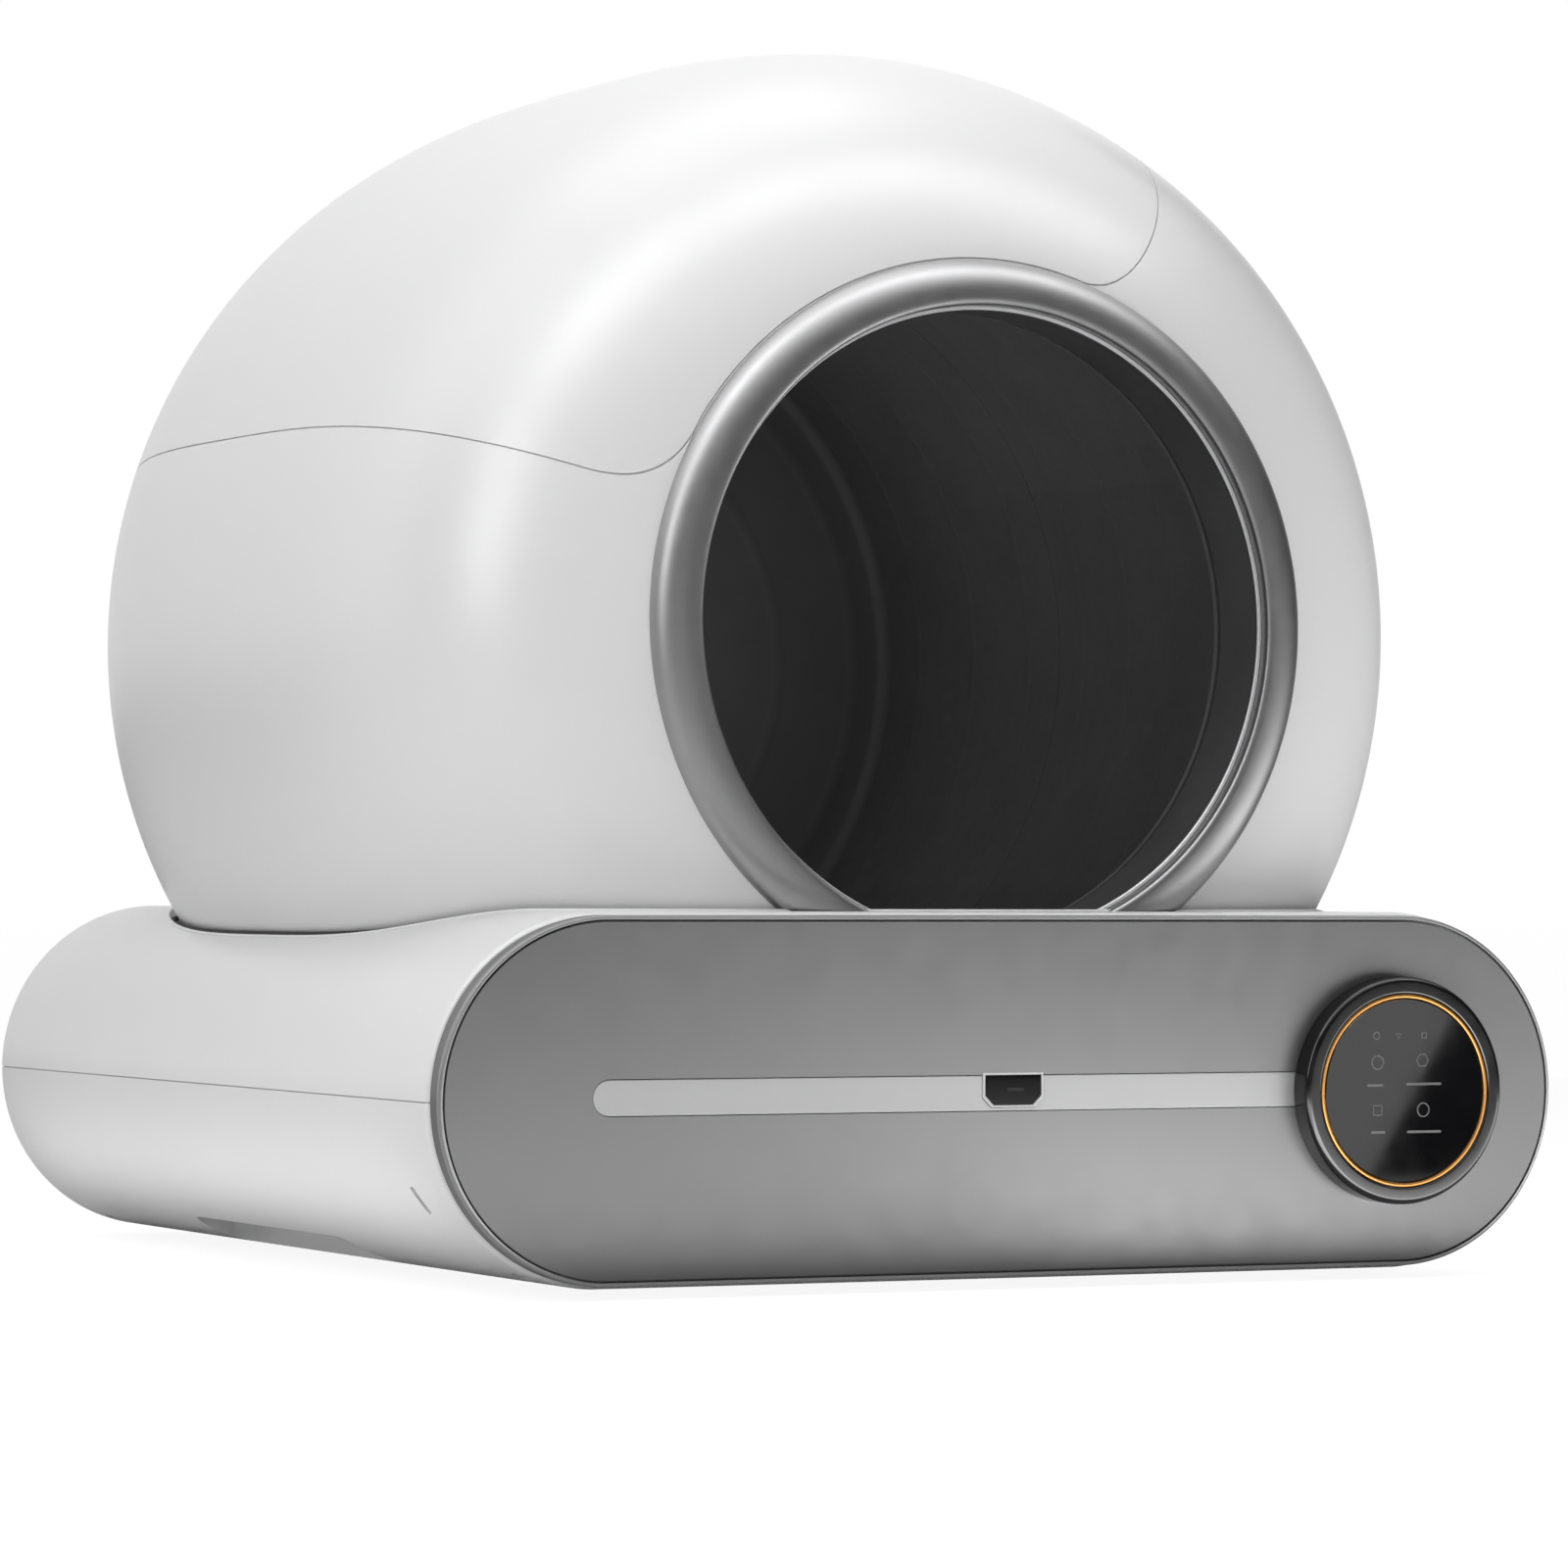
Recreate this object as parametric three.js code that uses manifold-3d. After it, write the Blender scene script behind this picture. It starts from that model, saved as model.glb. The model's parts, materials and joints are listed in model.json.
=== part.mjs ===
// Self cleaning litter box: a white dome over a turning drum, on a flat base with a waste drawer.
// Millimetres, +Z up, the entrance faces -Y, and the feet stand on Z = 0.
import * as THREE from 'three';
import { mergeVertices } from 'three/addons/utils/BufferGeometryUtils.js';
import Module from 'manifold-3d';

const wasm = await Module();
wasm.setup();

// Clearances that many pieces share
const fitGap = 0.3; // between pieces that rest on or in each other
const cutOver = 2; // how far a cut runs past the face that it opens
const weldTolerance = 0.0001; // vertices closer than this are one

// Front panel, the flat grey face of the drawer
const panelWidth = 530;
const panelHeight = 152.4;
const panelDepth = 9;
const panelWall = 4;
const panelEdge = 1.5;
const panelBossRadius = 6;
const panelBossInset = 45; // from the side of the bin to the boss axis
const panelBossDrop = 20; // from the base centre line to the boss axis

// White base shell, in a lower tub and an upper deck that meet at mid height
const rimReach = 1.5; // how far the shell stands out past the panel all round
const shellFrontGap = 1; // between the back of the panel and the shell
const shellDepth = 536;
const shellWall = 3;
const shellEdge = 3;
const seamGap = 0.6;

// Feet, and the weight sensors over them
const footHeight = 4; // what shows below the base
const footRadius = 16;
const footSideInset = 130; // from the side of the panel to the foot axis
const footFrontInset = 90; // from the front of the shell to the front foot axes
const footRearInset = 42; // from the back of the shell to the rear foot axes
const footSocketRise = 6; // depth of the socket in the underside of the tub
const footBossWall = 3.5;
const sensorDiscHeight = 2.4;

// Dome, a body turned about the horizontal axis of the entrance
const domeSideInset = 0.2; // from the side of the panel to the side of the dome
const domeFrontInset = 13.6; // from the front of the shell to the front pole
const domeRearOverhang = 20.3; // past the back of the shell
const domeFrontShare = 0.5093; // of the dome's depth, from the front pole to the widest section
const domeFrontPower = 3.6;
const domeRearPower = 2.94;
const domeWall = 3;
const saddleGap = 3; // between the dome and its saddle in the base
const saddleWall = 2.5;

// Seam of the lift-off top cover, seen from the front about the dome axis
const coverLeftAngle = -71; // degrees from straight up
const coverRightAngle = 29.4;
const coverLeftTurnIn = 34; // from the ring to where the left edge starts to turn in
const coverRightTurnIn = 80; // from the ring to where the right edge starts to turn in
const coverLeftMeet = -57.5; // degrees, where the left edge meets the ring
const coverRightMeet = 17;

// Entrance ring and the tunnel behind it
const ringInset = 56; // from the side of the drum in to the ring's bore
const ringBand = 22; // radial width
const ringOverlap = 6; // how far the ring covers the edge of the dome's opening
const ringProud = 10; // from the dome face to the crest
const ringLipDepth = 1.4;
const ringCrossShares = [[0.09, 0.5], [0.32, 0.08], [0.6, 0], [0.86, 0.34], [0.97, 0.85]]; // of band and rise
const tunnelWall = 3.3;
const tunnelDepth = 34;
const tunnelFlange = 3;
const flangeGap = 1.4; // behind the curved inside of the dome
const sealDepth = 2.2;
const sealWidth = 8;

// Drum and its sieve
const drumSideGap = 74.8; // from the side of the dome to the drum
const drumRearGap = 66.5; // from the back pole of the dome to the drum
const drumWall = 3;
const drumCorner = 9;
const drumSeamShare = 0.56; // of the drum length, from its front
const drumRunGap = 0.6; // between the seal and the drum
const portWidth = 140;
const portLengthShare = 0.372; // of the drum length
const portFrontInset = 60; // from the drum front to the waste port
const grateFrom = -100; // degrees from straight up, on the left
const grateTo = -30;
const grateThickness = 3;
const grateEndInset = 12;
const grateSlotWidth = 14;
const grateSlotPitch = 32;
const grateBar = 14; // solid border and centre bar across the slots

// Drive: a toothed ring on the drum and a pinion on the gear motor
const gearRimWidth = 10; // from the drum to the pitch circle of its toothed ring
const ringTeeth = 80;
const pinionTeeth = 8;
const gearWidth = 12;
const gearBacklash = 1.5;
const addendumShare = 0.9; // of the module
const dedendumShare = 1.15; // of the module
const rootWidthShare = 1.2; // tooth width at the root over that at the pitch circle
const pressureAngle = 20; // degrees
const gearRearInset = 40; // from the back of the drum to the toothed ring
const pinionAngle = 26; // degrees from straight down, towards +X
const pinionOverlap = 1; // how far the pinion is wider than the toothed ring, each side
const shaftRadius = 4;
const shaftGrip = 12;
const gearboxRadius = 19;
const gearboxLength = 20;
const motorRadius = 16;
const motorLength = 36;
const bracketThickness = 3;
const bracketHalfWidth = 28;
const bracketFoot = 22;

// Support rollers under the drum
const rollerRadius = 19;
const rollerWidth = 16;
const rollerAngle = 38; // degrees from straight down
const rollerFrontInset = 51; // from the drum front to the roller's middle
const rollerRearInset = 89; // from the drum back to the roller's middle
const axleRadius = 3;
const cheekThickness = 3;
const cheekHalfWidth = 9;
const cheekRise = 6; // above the axle
const cheekSideGap = 0.5;

// Deck under the drum, and the waste chute in it
const deckOverSeam = 6.3; // from the seam of the base to the top of the deck
const deckDrop = 4.6; // from the lowest point of the drum to the deck
const deckThickness = 4;
const chuteMargin = 5; // how much wider than the drum's port
const chuteSealWidth = 6;
const chuteSealHeight = 3;
const drumClearance = 2.5; // kept free round the drum

// Waste drawer
const binSideInset = 70; // from the side of the panel to the bin
const binRearGap = 12; // from the back of the bin to the motor
const binWall = 2.5;
const binCorner = 14;
const binRise = 10; // from the underside of the base to the bottom of the bin
const bagFrameWidth = 8;
const bagFrameHeight = 2;
const bagFrameClearance = 1.7; // below the deck
const drawerSideGap = 2;
const runnerWidth = 16;
const runnerInset = 30; // from the side of the bin to the runner
const contactHalfWidth = 12;
const contactHeight = 12;
const contactDepth = 4;
const contactRise = 30; // above the bottom of the bin
const contactSideInset = 45; // from the side of the bin to the contact
const socketDepth = 10;

// Light strip and sensor window in the panel
const stripSideInset = 68; // from the side of the panel to the strip's left end
const stripHeight = 15.5;
const stripRise = 1.2; // above the base centre line
const stripGroove = 2.5;
const stripSink = 0.5; // from the panel face down to the strip face
const stripUnderDial = 6;
const windowX = -2.6;
const windowWidth = 27;
const windowHeight = 13;
const windowChamfer = 4;
const windowProud = 0.3;
const sensorBoardMargin = 3;
const boardThickness = 1.6;

// Round control dial
const dialSideInset = 81; // from the side of the panel to the dial's axis
const dialRise = 0.3; // above the base centre line
const dialRadius = 49.4;
const dialProud = 11;
const dialEdge = 3;
const dialChamferShare = 0.4; // of the dial edge
const dialLip = 7.2; // radial width of the black rim
const dialRecess = 4;
const dialRingWidth = 2.2;
const dialGlassSink = 0.6;
const displayBoardRadius = 32;

// Electronics and small parts inside the base
const mainBoardWidth = 100;
const mainBoardDepth = 66;
const mainBoardX = -110;
const mainBoardBackInset = 50; // from the back wall to the board
const boardPostHeight = 8;
const boardPostRadius = 4;
const chipSize = 16;
const chipHeight = 3;
const plugBlockWidth = 40;
const plugBlockHeight = 9;
const inletX = -150;
const inletRise = 45; // above the underside of the base
const inletSize = 14;
const inletDepth = 14;
const inletCollarRadius = 5.5;
const inletHoleRadius = 3.5;
const cartridgeWidth = 64;
const cartridgeDepth = 34;
const cartridgeHeight = 44;
const cartridgeX = 10;
const cartridgeBackInset = 12;

// Screws that hold the deck on the tub
const screwSideInset = 50; // from the side of the panel to the screw axis
const screwEndInset = 20; // from each end of the shell
const screwHeadRadius = 4;
const screwHeadHeight = 2.5;
const screwShankRadius = 1.8;
const screwHoleGap = 0.4;
const screwSeatRise = 14; // above the underside of the base
const columnRadius = 6.5;
const deckBossHeight = 16;

// Hand grips in the underside, one at each side
const gripSideInset = 31.5; // from the side of the shell to the outer edge of the grip
const gripWidth = 30;
const gripEndInset = 174; // from each end of the shell
const gripRise = 20; // above the underside of the base
const gripWall = 2.5;

// Facet counts
const domeSegments = 40;
const drumSegments = 36;
const ringSegments = 36;
const smallSegments = 12;
const roundSegments = 16; // motor, rollers, feet and other mid sized round pieces
const stadiumSegments = 5; // half the facets of each round end
const domeFrontSteps = 7;
const domeRearSteps = 7;
const turnSteps = 4;
const binCornerSteps = 2;

// Places worked out from the sizes above
const rad = THREE.MathUtils.degToRad;
const baseBottomZ = footHeight;
const shellWidth = panelWidth + 2 * rimReach;
const shellHeight = panelHeight + 2 * rimReach;
const baseCentreZ = baseBottomZ + shellHeight / 2;
const tubFloorZ = baseBottomZ + shellWall;
const shellFrontY = panelDepth + shellFrontGap;
const shellBackY = shellFrontY + shellDepth;
const backWallY = shellBackY - shellWall;
const domeRadius = panelWidth / 2 - domeSideInset;
const domeDepth = shellDepth + domeRearOverhang - domeFrontInset;
const domeFrontReach = domeDepth * domeFrontShare;
const domeRearReach = domeDepth - domeFrontReach;
const domeCentreY = shellFrontY + domeFrontInset + domeFrontReach;
const drumRadius = domeRadius - drumSideGap;
const deckTopZ = baseCentreZ + deckOverSeam;
const deckBottomZ = deckTopZ - deckThickness;
const axisZ = deckTopZ + deckDrop + drumRadius;
const ringInner = drumRadius - ringInset;
const ringOuter = ringInner + ringBand;
const domeOpening = ringOuter - ringOverlap;
const coverLeftTurn = ringOuter + coverLeftTurnIn;
const coverRightTurn = ringOuter + coverRightTurnIn;
const ringCrestY = domeFaceY(domeOpening, 0) - ringProud;
const ringLipY = domeFaceY(domeOpening, 0) - fitGap - ringLipDepth * 2;
const flangeOuter = ringOuter - 2 * fitGap;
const flangeFrontY = domeFaceY(flangeOuter, domeWall) + flangeGap;
const tunnelFrontY = ringLipY + ringLipDepth + fitGap;
const tunnelRearY = tunnelFrontY + tunnelDepth;
const drumFrontY = tunnelRearY + fitGap + sealDepth + drumRunGap;
const drumBackY = domeCentreY + domeRearReach - drumRearGap;
const drumLength = drumBackY - drumFrontY;
const drumSeamY = drumFrontY + drumSeamShare * drumLength;
const portY0 = drumFrontY + portFrontInset;
const portY1 = portY0 + portLengthShare * drumLength;
const gearModule = 2 * (drumRadius + gearRimWidth) / ringTeeth;
const ringPitchRadius = gearModule * ringTeeth / 2;
const pinionPitchRadius = gearModule * pinionTeeth / 2;
const gearY1 = drumBackY - gearRearInset;
const gearY0 = gearY1 - gearWidth;
const driveReach = ringPitchRadius + pinionPitchRadius;
const pinionX = driveReach * Math.sin(rad(pinionAngle));
const pinionZ = axisZ - driveReach * Math.cos(rad(pinionAngle));
const bracketY1 = gearY0 - pinionOverlap - fitGap;
const bracketY0 = bracketY1 - bracketThickness;
const motorFrontY = bracketY0 - fitGap - gearboxLength - motorLength;
const rollerReach = drumRadius + rollerRadius + fitGap;
const rollerX = rollerReach * Math.sin(rad(rollerAngle));
const rollerZ = axisZ - rollerReach * Math.cos(rad(rollerAngle));
const rollerFrontY = drumFrontY + rollerFrontInset;
const rollerRearY = drumBackY - rollerRearInset;
const binHalfWidth = panelWidth / 2 - binSideInset;
const binFrontY = panelDepth + fitGap;
const binBackY = motorFrontY - binRearGap;
const binBottomZ = baseBottomZ + binRise;
const bagFrameZ = deckBottomZ - bagFrameClearance - bagFrameHeight;
const binTopZ = bagFrameZ - fitGap;
const stripZ = baseCentreZ + stripRise;
const stripLeft = stripSideInset - panelWidth / 2;
const dialX = panelWidth / 2 - dialSideInset;
const dialZ = baseCentreZ + dialRise;
const overallDepth = dialProud + domeCentreY + domeRearReach;

const finishes = {
  white_shell: new THREE.MeshStandardMaterial({ color: 0xf0f0f0, roughness: 0.32, metalness: 0 }),
  satin_ring: new THREE.MeshStandardMaterial({ color: 0xa8aaad, roughness: 0.36, metalness: 0.8 }),
  grey_panel: new THREE.MeshStandardMaterial({ color: 0x8a8b8c, roughness: 0.45, metalness: 0.15 }),
  light_strip: new THREE.MeshStandardMaterial({ color: 0xb9babb, roughness: 0.4, metalness: 0 }),
  black_plastic: new THREE.MeshStandardMaterial({ color: 0x26272a, roughness: 0.6, metalness: 0 }),
  drum_plastic: new THREE.MeshStandardMaterial({ color: 0x303134, roughness: 0.55, metalness: 0 }),
  gold_ring: new THREE.MeshStandardMaterial({ color: 0xd08a32, roughness: 0.3, metalness: 0.9 }),
  dark_glass: new THREE.MeshStandardMaterial({ color: 0x101114, roughness: 0.08, metalness: 0 }),
  grey_plastic: new THREE.MeshStandardMaterial({ color: 0x6c6e72, roughness: 0.6, metalness: 0 }),
  rubber: new THREE.MeshStandardMaterial({ color: 0x2b2b2b, roughness: 0.85, metalness: 0 }),
  steel: new THREE.MeshStandardMaterial({ color: 0xb8babd, roughness: 0.3, metalness: 0.95 }),
  circuit_green: new THREE.MeshStandardMaterial({ color: 0x1f5a3a, roughness: 0.5, metalness: 0.1 }),
};

// The litter box stands with the middle of its depth on the origin
const litterBox = new THREE.Group();
const machine = new THREE.Group();
machine.position.y = dialProud - overallDepth / 2;
litterBox.add(machine);

// Solids from three.js geometry

function closed(geometry) {
  const bare = geometry.clone();
  for (const name of Object.keys(bare.attributes)) {
    if (name !== 'position') bare.deleteAttribute(name);
  }
  const merged = mergeVertices(bare, weldTolerance);
  const vertProperties = new Float32Array(merged.attributes.position.array);
  const triangles = dropSlivers(Array.from(merged.index.array));
  if (signedVolume(vertProperties, triangles) < 0) triangles.reverse();
  const triVerts = new Uint32Array(triangles);
  return new wasm.Manifold(new wasm.Mesh({ numProp: 3, vertProperties, triVerts }));
}

function dropSlivers(index) {
  const kept = [];
  for (let i = 0; i < index.length; i += 3) {
    const [a, b, c] = index.slice(i, i + 3);
    if (a !== b && b !== c && c !== a) kept.push(a, b, c);
  }
  return kept;
}

function signedVolume(points, index) {
  const at = (i) => new THREE.Vector3().fromArray(points, 3 * i);
  let total = 0;
  for (let i = 0; i < index.length; i += 3) {
    total += at(index[i]).dot(at(index[i + 1]).cross(at(index[i + 2])));
  }
  return total;
}

function join(...solids) {
  return solids.reduce((whole, next) => whole.add(next));
}

function cut(solid, ...tools) {
  return tools.reduce((whole, tool) => whole.subtract(tool), solid);
}

function block(x0, x1, y0, y1, z0, z1) {
  const box = new THREE.BoxGeometry(x1 - x0, y1 - y0, z1 - z0);
  return closed(box.translate((x0 + x1) / 2, (y0 + y1) / 2, (z0 + z1) / 2));
}

function rodY(radius, y0, y1, x, z, segments = smallSegments) {
  const rod = new THREE.CylinderGeometry(radius, radius, y1 - y0, segments);
  return closed(rod.translate(x, (y0 + y1) / 2, z));
}

function rodZ(radius, z0, z1, x, y, segments = smallSegments) {
  const rod = new THREE.CylinderGeometry(radius, radius, z1 - z0, segments).rotateX(Math.PI / 2);
  return closed(rod.translate(x, y, (z0 + z1) / 2));
}

// Turned about the Y direction; the profile lists radius and Y
function turned(profile, x, z, segments) {
  const points = profile.map(([r, y]) => new THREE.Vector2(r, y));
  return closed(new THREE.LatheGeometry(points, segments).translate(x, 0, z));
}

// Turned about an upright axis; the profile lists radius and Z
function turnedUpright(profile, x, y, segments = smallSegments) {
  const points = profile.map(([r, z]) => new THREE.Vector2(r, z));
  return closed(new THREE.LatheGeometry(points, segments).rotateX(Math.PI / 2).translate(x, y, 0));
}

// Outline drawn in X and Z, pushed from y0 back to y1
function prismY(outline, y0, y1, x, z, edge = 0) {
  const geometry = new THREE.ExtrudeGeometry(outline, {
    depth: y1 - y0 - 2 * edge,
    bevelEnabled: edge > 0,
    bevelThickness: edge,
    bevelSize: edge,
    bevelOffset: -edge,
    bevelSegments: 1,
    curveSegments: stadiumSegments,
  });
  return closed(geometry.rotateX(Math.PI / 2).translate(x, y1 - edge, z));
}

// Outline drawn in X and Y, pushed from z0 up to z1
function prismZ(outline, z0, z1) {
  const options = { depth: z1 - z0, bevelEnabled: false, curveSegments: binCornerSteps };
  return closed(new THREE.ExtrudeGeometry(outline, options).translate(0, 0, z0));
}

// Outlines

function stadium(width, height) {
  const r = height / 2;
  const reach = width / 2 - r;
  const outline = new THREE.Shape();
  outline.absarc(reach, 0, r, -Math.PI / 2, Math.PI / 2, false);
  outline.absarc(-reach, 0, r, Math.PI / 2, 3 * Math.PI / 2, false);
  outline.closePath();
  return outline;
}

function roundedRectangle(x0, x1, y0, y1, r) {
  const outline = new THREE.Shape();
  outline.absarc(x1 - r, y0 + r, r, -Math.PI / 2, 0, false);
  outline.absarc(x1 - r, y1 - r, r, 0, Math.PI / 2, false);
  outline.absarc(x0 + r, y1 - r, r, Math.PI / 2, Math.PI, false);
  outline.absarc(x0 + r, y0 + r, r, Math.PI, 3 * Math.PI / 2, false);
  outline.closePath();
  return outline;
}

function polygon(points) {
  return new THREE.Shape(points.map(([x, y]) => new THREE.Vector2(x, y)));
}

// Dome

function domeFaceY(radius, inset) {
  const share = Math.pow(radius / (domeRadius - inset), domeFrontPower);
  return domeCentreY - (domeFrontReach - inset) * Math.pow(1 - share, 1 / domeFrontPower);
}

function domePoint(turn, inset, reach, power, side) {
  const r = (domeRadius - inset) * Math.pow(Math.max(Math.cos(turn), 0), 2 / power);
  const y = domeCentreY + side * (reach - inset) * Math.pow(Math.sin(turn), 2 / power);
  return [r, y];
}

// Radius and Y from a front opening round to the pole at the back
function domeCurve(inset, opening) {
  const openingShare = opening / (domeRadius - inset);
  const frontTurn = Math.acos(Math.pow(openingShare, domeFrontPower / 2));
  const curve = [];
  for (let i = 0; i < domeFrontSteps; i += 1) {
    const turn = frontTurn * (1 - i / domeFrontSteps);
    curve.push(domePoint(turn, inset, domeFrontReach, domeFrontPower, -1));
  }
  for (let i = 0; i < domeRearSteps; i += 1) {
    const turn = (Math.PI / 2) * (i / domeRearSteps);
    curve.push(domePoint(turn, inset, domeRearReach, domeRearPower, 1));
  }
  curve.push([0, domeCentreY + domeRearReach - inset]);
  return curve;
}

function domeSkin() {
  const outside = domeCurve(0, domeOpening);
  const inside = domeCurve(domeWall, domeOpening).reverse();
  return turned([...outside, ...inside, outside[0]], 0, axisZ, domeSegments);
}

function domeSolid(outset) {
  return turned(domeCurve(-outset, 0), 0, axisZ, domeSegments);
}

function polar(radius, degrees) {
  return [radius * Math.sin(rad(degrees)), radius * Math.cos(rad(degrees))];
}

// Front view of the cover, grown or shrunk by a gap along its edges
function coverOutline(gap) {
  const farRadius = domeRadius + 2 * cutOver;
  const circle = ringOuter + 2 * fitGap - gap;
  const spread = (radius) => THREE.MathUtils.radToDeg(gap / radius);
  const left = (radius, degrees) => polar(radius, degrees - spread(radius));
  const right = (radius, degrees) => polar(radius, degrees + spread(radius));
  const outline = new THREE.Shape();
  outline.moveTo(...left(farRadius, coverLeftAngle));
  outline.lineTo(...left(coverLeftTurn, coverLeftAngle));
  outline.quadraticCurveTo(...left(circle, coverLeftAngle), ...polar(circle, coverLeftMeet));
  for (let i = 1; i <= turnSteps * 2; i += 1) {
    const degrees = THREE.MathUtils.lerp(coverLeftMeet, coverRightMeet, i / (turnSteps * 2));
    outline.lineTo(...polar(circle, degrees));
  }
  outline.quadraticCurveTo(...right(circle, coverRightAngle), ...right(coverRightTurn, coverRightAngle));
  outline.lineTo(...right(farRadius, coverRightAngle));
  for (let i = 1; i < turnSteps; i += 1) {
    const degrees = THREE.MathUtils.lerp(coverRightAngle, coverLeftAngle, i / turnSteps);
    outline.lineTo(...polar(farRadius * Math.SQRT2, degrees));
  }
  outline.closePath();
  return outline;
}

function coverTool(gap) {
  return prismY(coverOutline(gap), 0, domeCentreY + domeRearReach + cutOver, 0, axisZ);
}

function makeDomeShell() {
  const halfWidth = domeRadius + cutOver;
  const below = block(-halfWidth, halfWidth, 0, overallDepth, 0, deckTopZ + fitGap);
  return cut(domeSkin(), coverTool(seamGap / 2), below);
}

function makeDomeCover() {
  return domeSkin().intersect(coverTool(-seamGap / 2));
}

// Entrance

function makeEntranceRing() {
  const neckOuter = domeOpening - 3 * fitGap;
  const neckInner = ringInner + tunnelWall + 3 * fitGap;
  const seat = (r) => domeFaceY(r, 0) - fitGap;
  const neckY = flangeFrontY - fitGap;
  const rise = ringLipY - ringCrestY;
  const profile = [
    [ringInner, ringLipY + ringLipDepth],
    [ringInner, ringLipY],
    ...ringCrossShares.map(([across, back]) => [ringInner + ringBand * across, ringCrestY + rise * back]),
    [ringOuter, seat(ringOuter)],
    [neckOuter, seat(neckOuter)],
    [neckOuter, neckY],
    [neckInner, neckY],
    [neckInner, ringLipY + ringLipDepth],
    [ringInner, ringLipY + ringLipDepth],
  ];
  return turned(profile, 0, axisZ, ringSegments);
}

function makeEntranceTunnel() {
  const outer = ringInner + 2 * fitGap + tunnelWall;
  const inner = ringInner + 2 * fitGap;
  const rearOuter = outer + sealWidth + tunnelFlange;
  const profile = [
    [inner, tunnelFrontY],
    [outer, tunnelFrontY],
    [outer, flangeFrontY],
    [flangeOuter, flangeFrontY],
    [flangeOuter, flangeFrontY + tunnelFlange],
    [outer, flangeFrontY + tunnelFlange],
    [outer, tunnelRearY - tunnelFlange],
    [rearOuter, tunnelRearY - tunnelFlange],
    [rearOuter, tunnelRearY],
    [inner, tunnelRearY],
    [inner, tunnelFrontY],
  ];
  return turned(profile, 0, axisZ, ringSegments);
}

function makeDrumSeal() {
  const inner = ringInner + 2 * fitGap + tunnelWall + tunnelFlange / 2;
  const y0 = tunnelRearY + fitGap;
  const y1 = y0 + sealDepth;
  const profile = [[inner, y0], [inner + sealWidth, y0], [inner + sealWidth, y1], [inner, y1], [inner, y0]];
  return turned(profile, 0, axisZ, drumSegments);
}

// Drum

function makeDrumFront() {
  const mouth = ringInner + 2 * fitGap + tunnelWall / 2;
  const inside = drumRadius - drumWall;
  const profile = [
    [mouth, drumFrontY],
    [drumRadius - drumCorner, drumFrontY],
    [drumRadius, drumFrontY + drumCorner],
    [drumRadius, drumSeamY],
    [inside, drumSeamY],
    [inside, drumFrontY + drumCorner + drumWall / 2],
    [drumRadius - drumCorner - drumWall / 2, drumFrontY + drumWall],
    [mouth, drumFrontY + drumWall],
    [mouth, drumFrontY],
  ];
  const top = axisZ + drumRadius + cutOver;
  const port = block(-portWidth / 2, portWidth / 2, portY0, portY1, axisZ, top);
  return cut(turned(profile, 0, axisZ, drumSegments), port);
}

function makeDrumRear() {
  const seamY = drumSeamY + fitGap;
  const inside = drumRadius - drumWall;
  const profile = [
    [drumRadius, seamY],
    [drumRadius, drumBackY - drumCorner],
    [drumRadius - drumCorner, drumBackY],
    [0, drumBackY],
    [0, drumBackY - drumWall],
    [drumRadius - drumCorner - drumWall / 2, drumBackY - drumWall],
    [inside, drumBackY - drumCorner - drumWall / 2],
    [inside, seamY],
    [drumRadius, seamY],
  ];
  return turned(profile, 0, axisZ, drumSegments);
}

// A box beside the drum axis, turned about that axis to face the given angle from straight up
function leaningBlock(x0, x1, y0, y1, z0, z1, degrees) {
  const box = new THREE.BoxGeometry(x1 - x0, y1 - y0, z1 - z0);
  box.translate((x0 + x1) / 2, (y0 + y1) / 2, (z0 + z1) / 2);
  return closed(box.rotateY(rad(degrees)).translate(0, 0, axisZ));
}

function makeSiftingGrate() {
  const inside = (drumRadius - drumWall) * Math.cos(Math.PI / drumSegments) - fitGap;
  const middle = (grateFrom + grateTo) / 2;
  const drop = inside * Math.cos(rad((grateTo - grateFrom) / 2));
  const top = drop + grateThickness;
  const halfChord = Math.sqrt(inside * inside - top * top);
  const y0 = drumFrontY + grateEndInset;
  const y1 = drumBackY - grateEndInset;
  const slotLength = (2 * halfChord - 3 * grateBar) / 2;
  const count = Math.floor((y1 - y0 - grateBar) / grateSlotPitch);
  let plate = leaningBlock(-halfChord, halfChord, y0, y1, drop, top, middle);
  for (let row = 0; row < 2; row += 1) {
    const x0 = -halfChord + grateBar + row * (slotLength + grateBar);
    for (let i = 0; i < count; i += 1) {
      const s0 = y0 + grateBar + i * grateSlotPitch;
      const s1 = s0 + grateSlotWidth;
      plate = cut(plate, leaningBlock(x0, x0 + slotLength, s0, s1, drop - cutOver, top + cutOver, middle));
    }
  }
  return plate;
}

// Gears

function gearOutline(teeth, firstTooth) {
  const pitchRadius = gearModule * teeth / 2;
  const tip = pitchRadius + gearModule * addendumShare;
  const root = pitchRadius - gearModule * dedendumShare;
  const halfAtPitch = (Math.PI * gearModule / 2 - gearBacklash) / 2;
  const halfAtTip = halfAtPitch - (tip - pitchRadius) * Math.tan(rad(pressureAngle));
  const points = [];
  const place = (radius, angle) => points.push([radius * Math.cos(angle), radius * Math.sin(angle)]);
  for (let i = 0; i < teeth; i += 1) {
    const middle = firstTooth + i * 2 * Math.PI / teeth;
    place(root, middle - halfAtPitch * rootWidthShare / root);
    place(tip, middle - halfAtTip / tip);
    place(tip, middle + halfAtTip / tip);
    place(root, middle + halfAtPitch * rootWidthShare / root);
  }
  return polygon(points);
}

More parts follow.
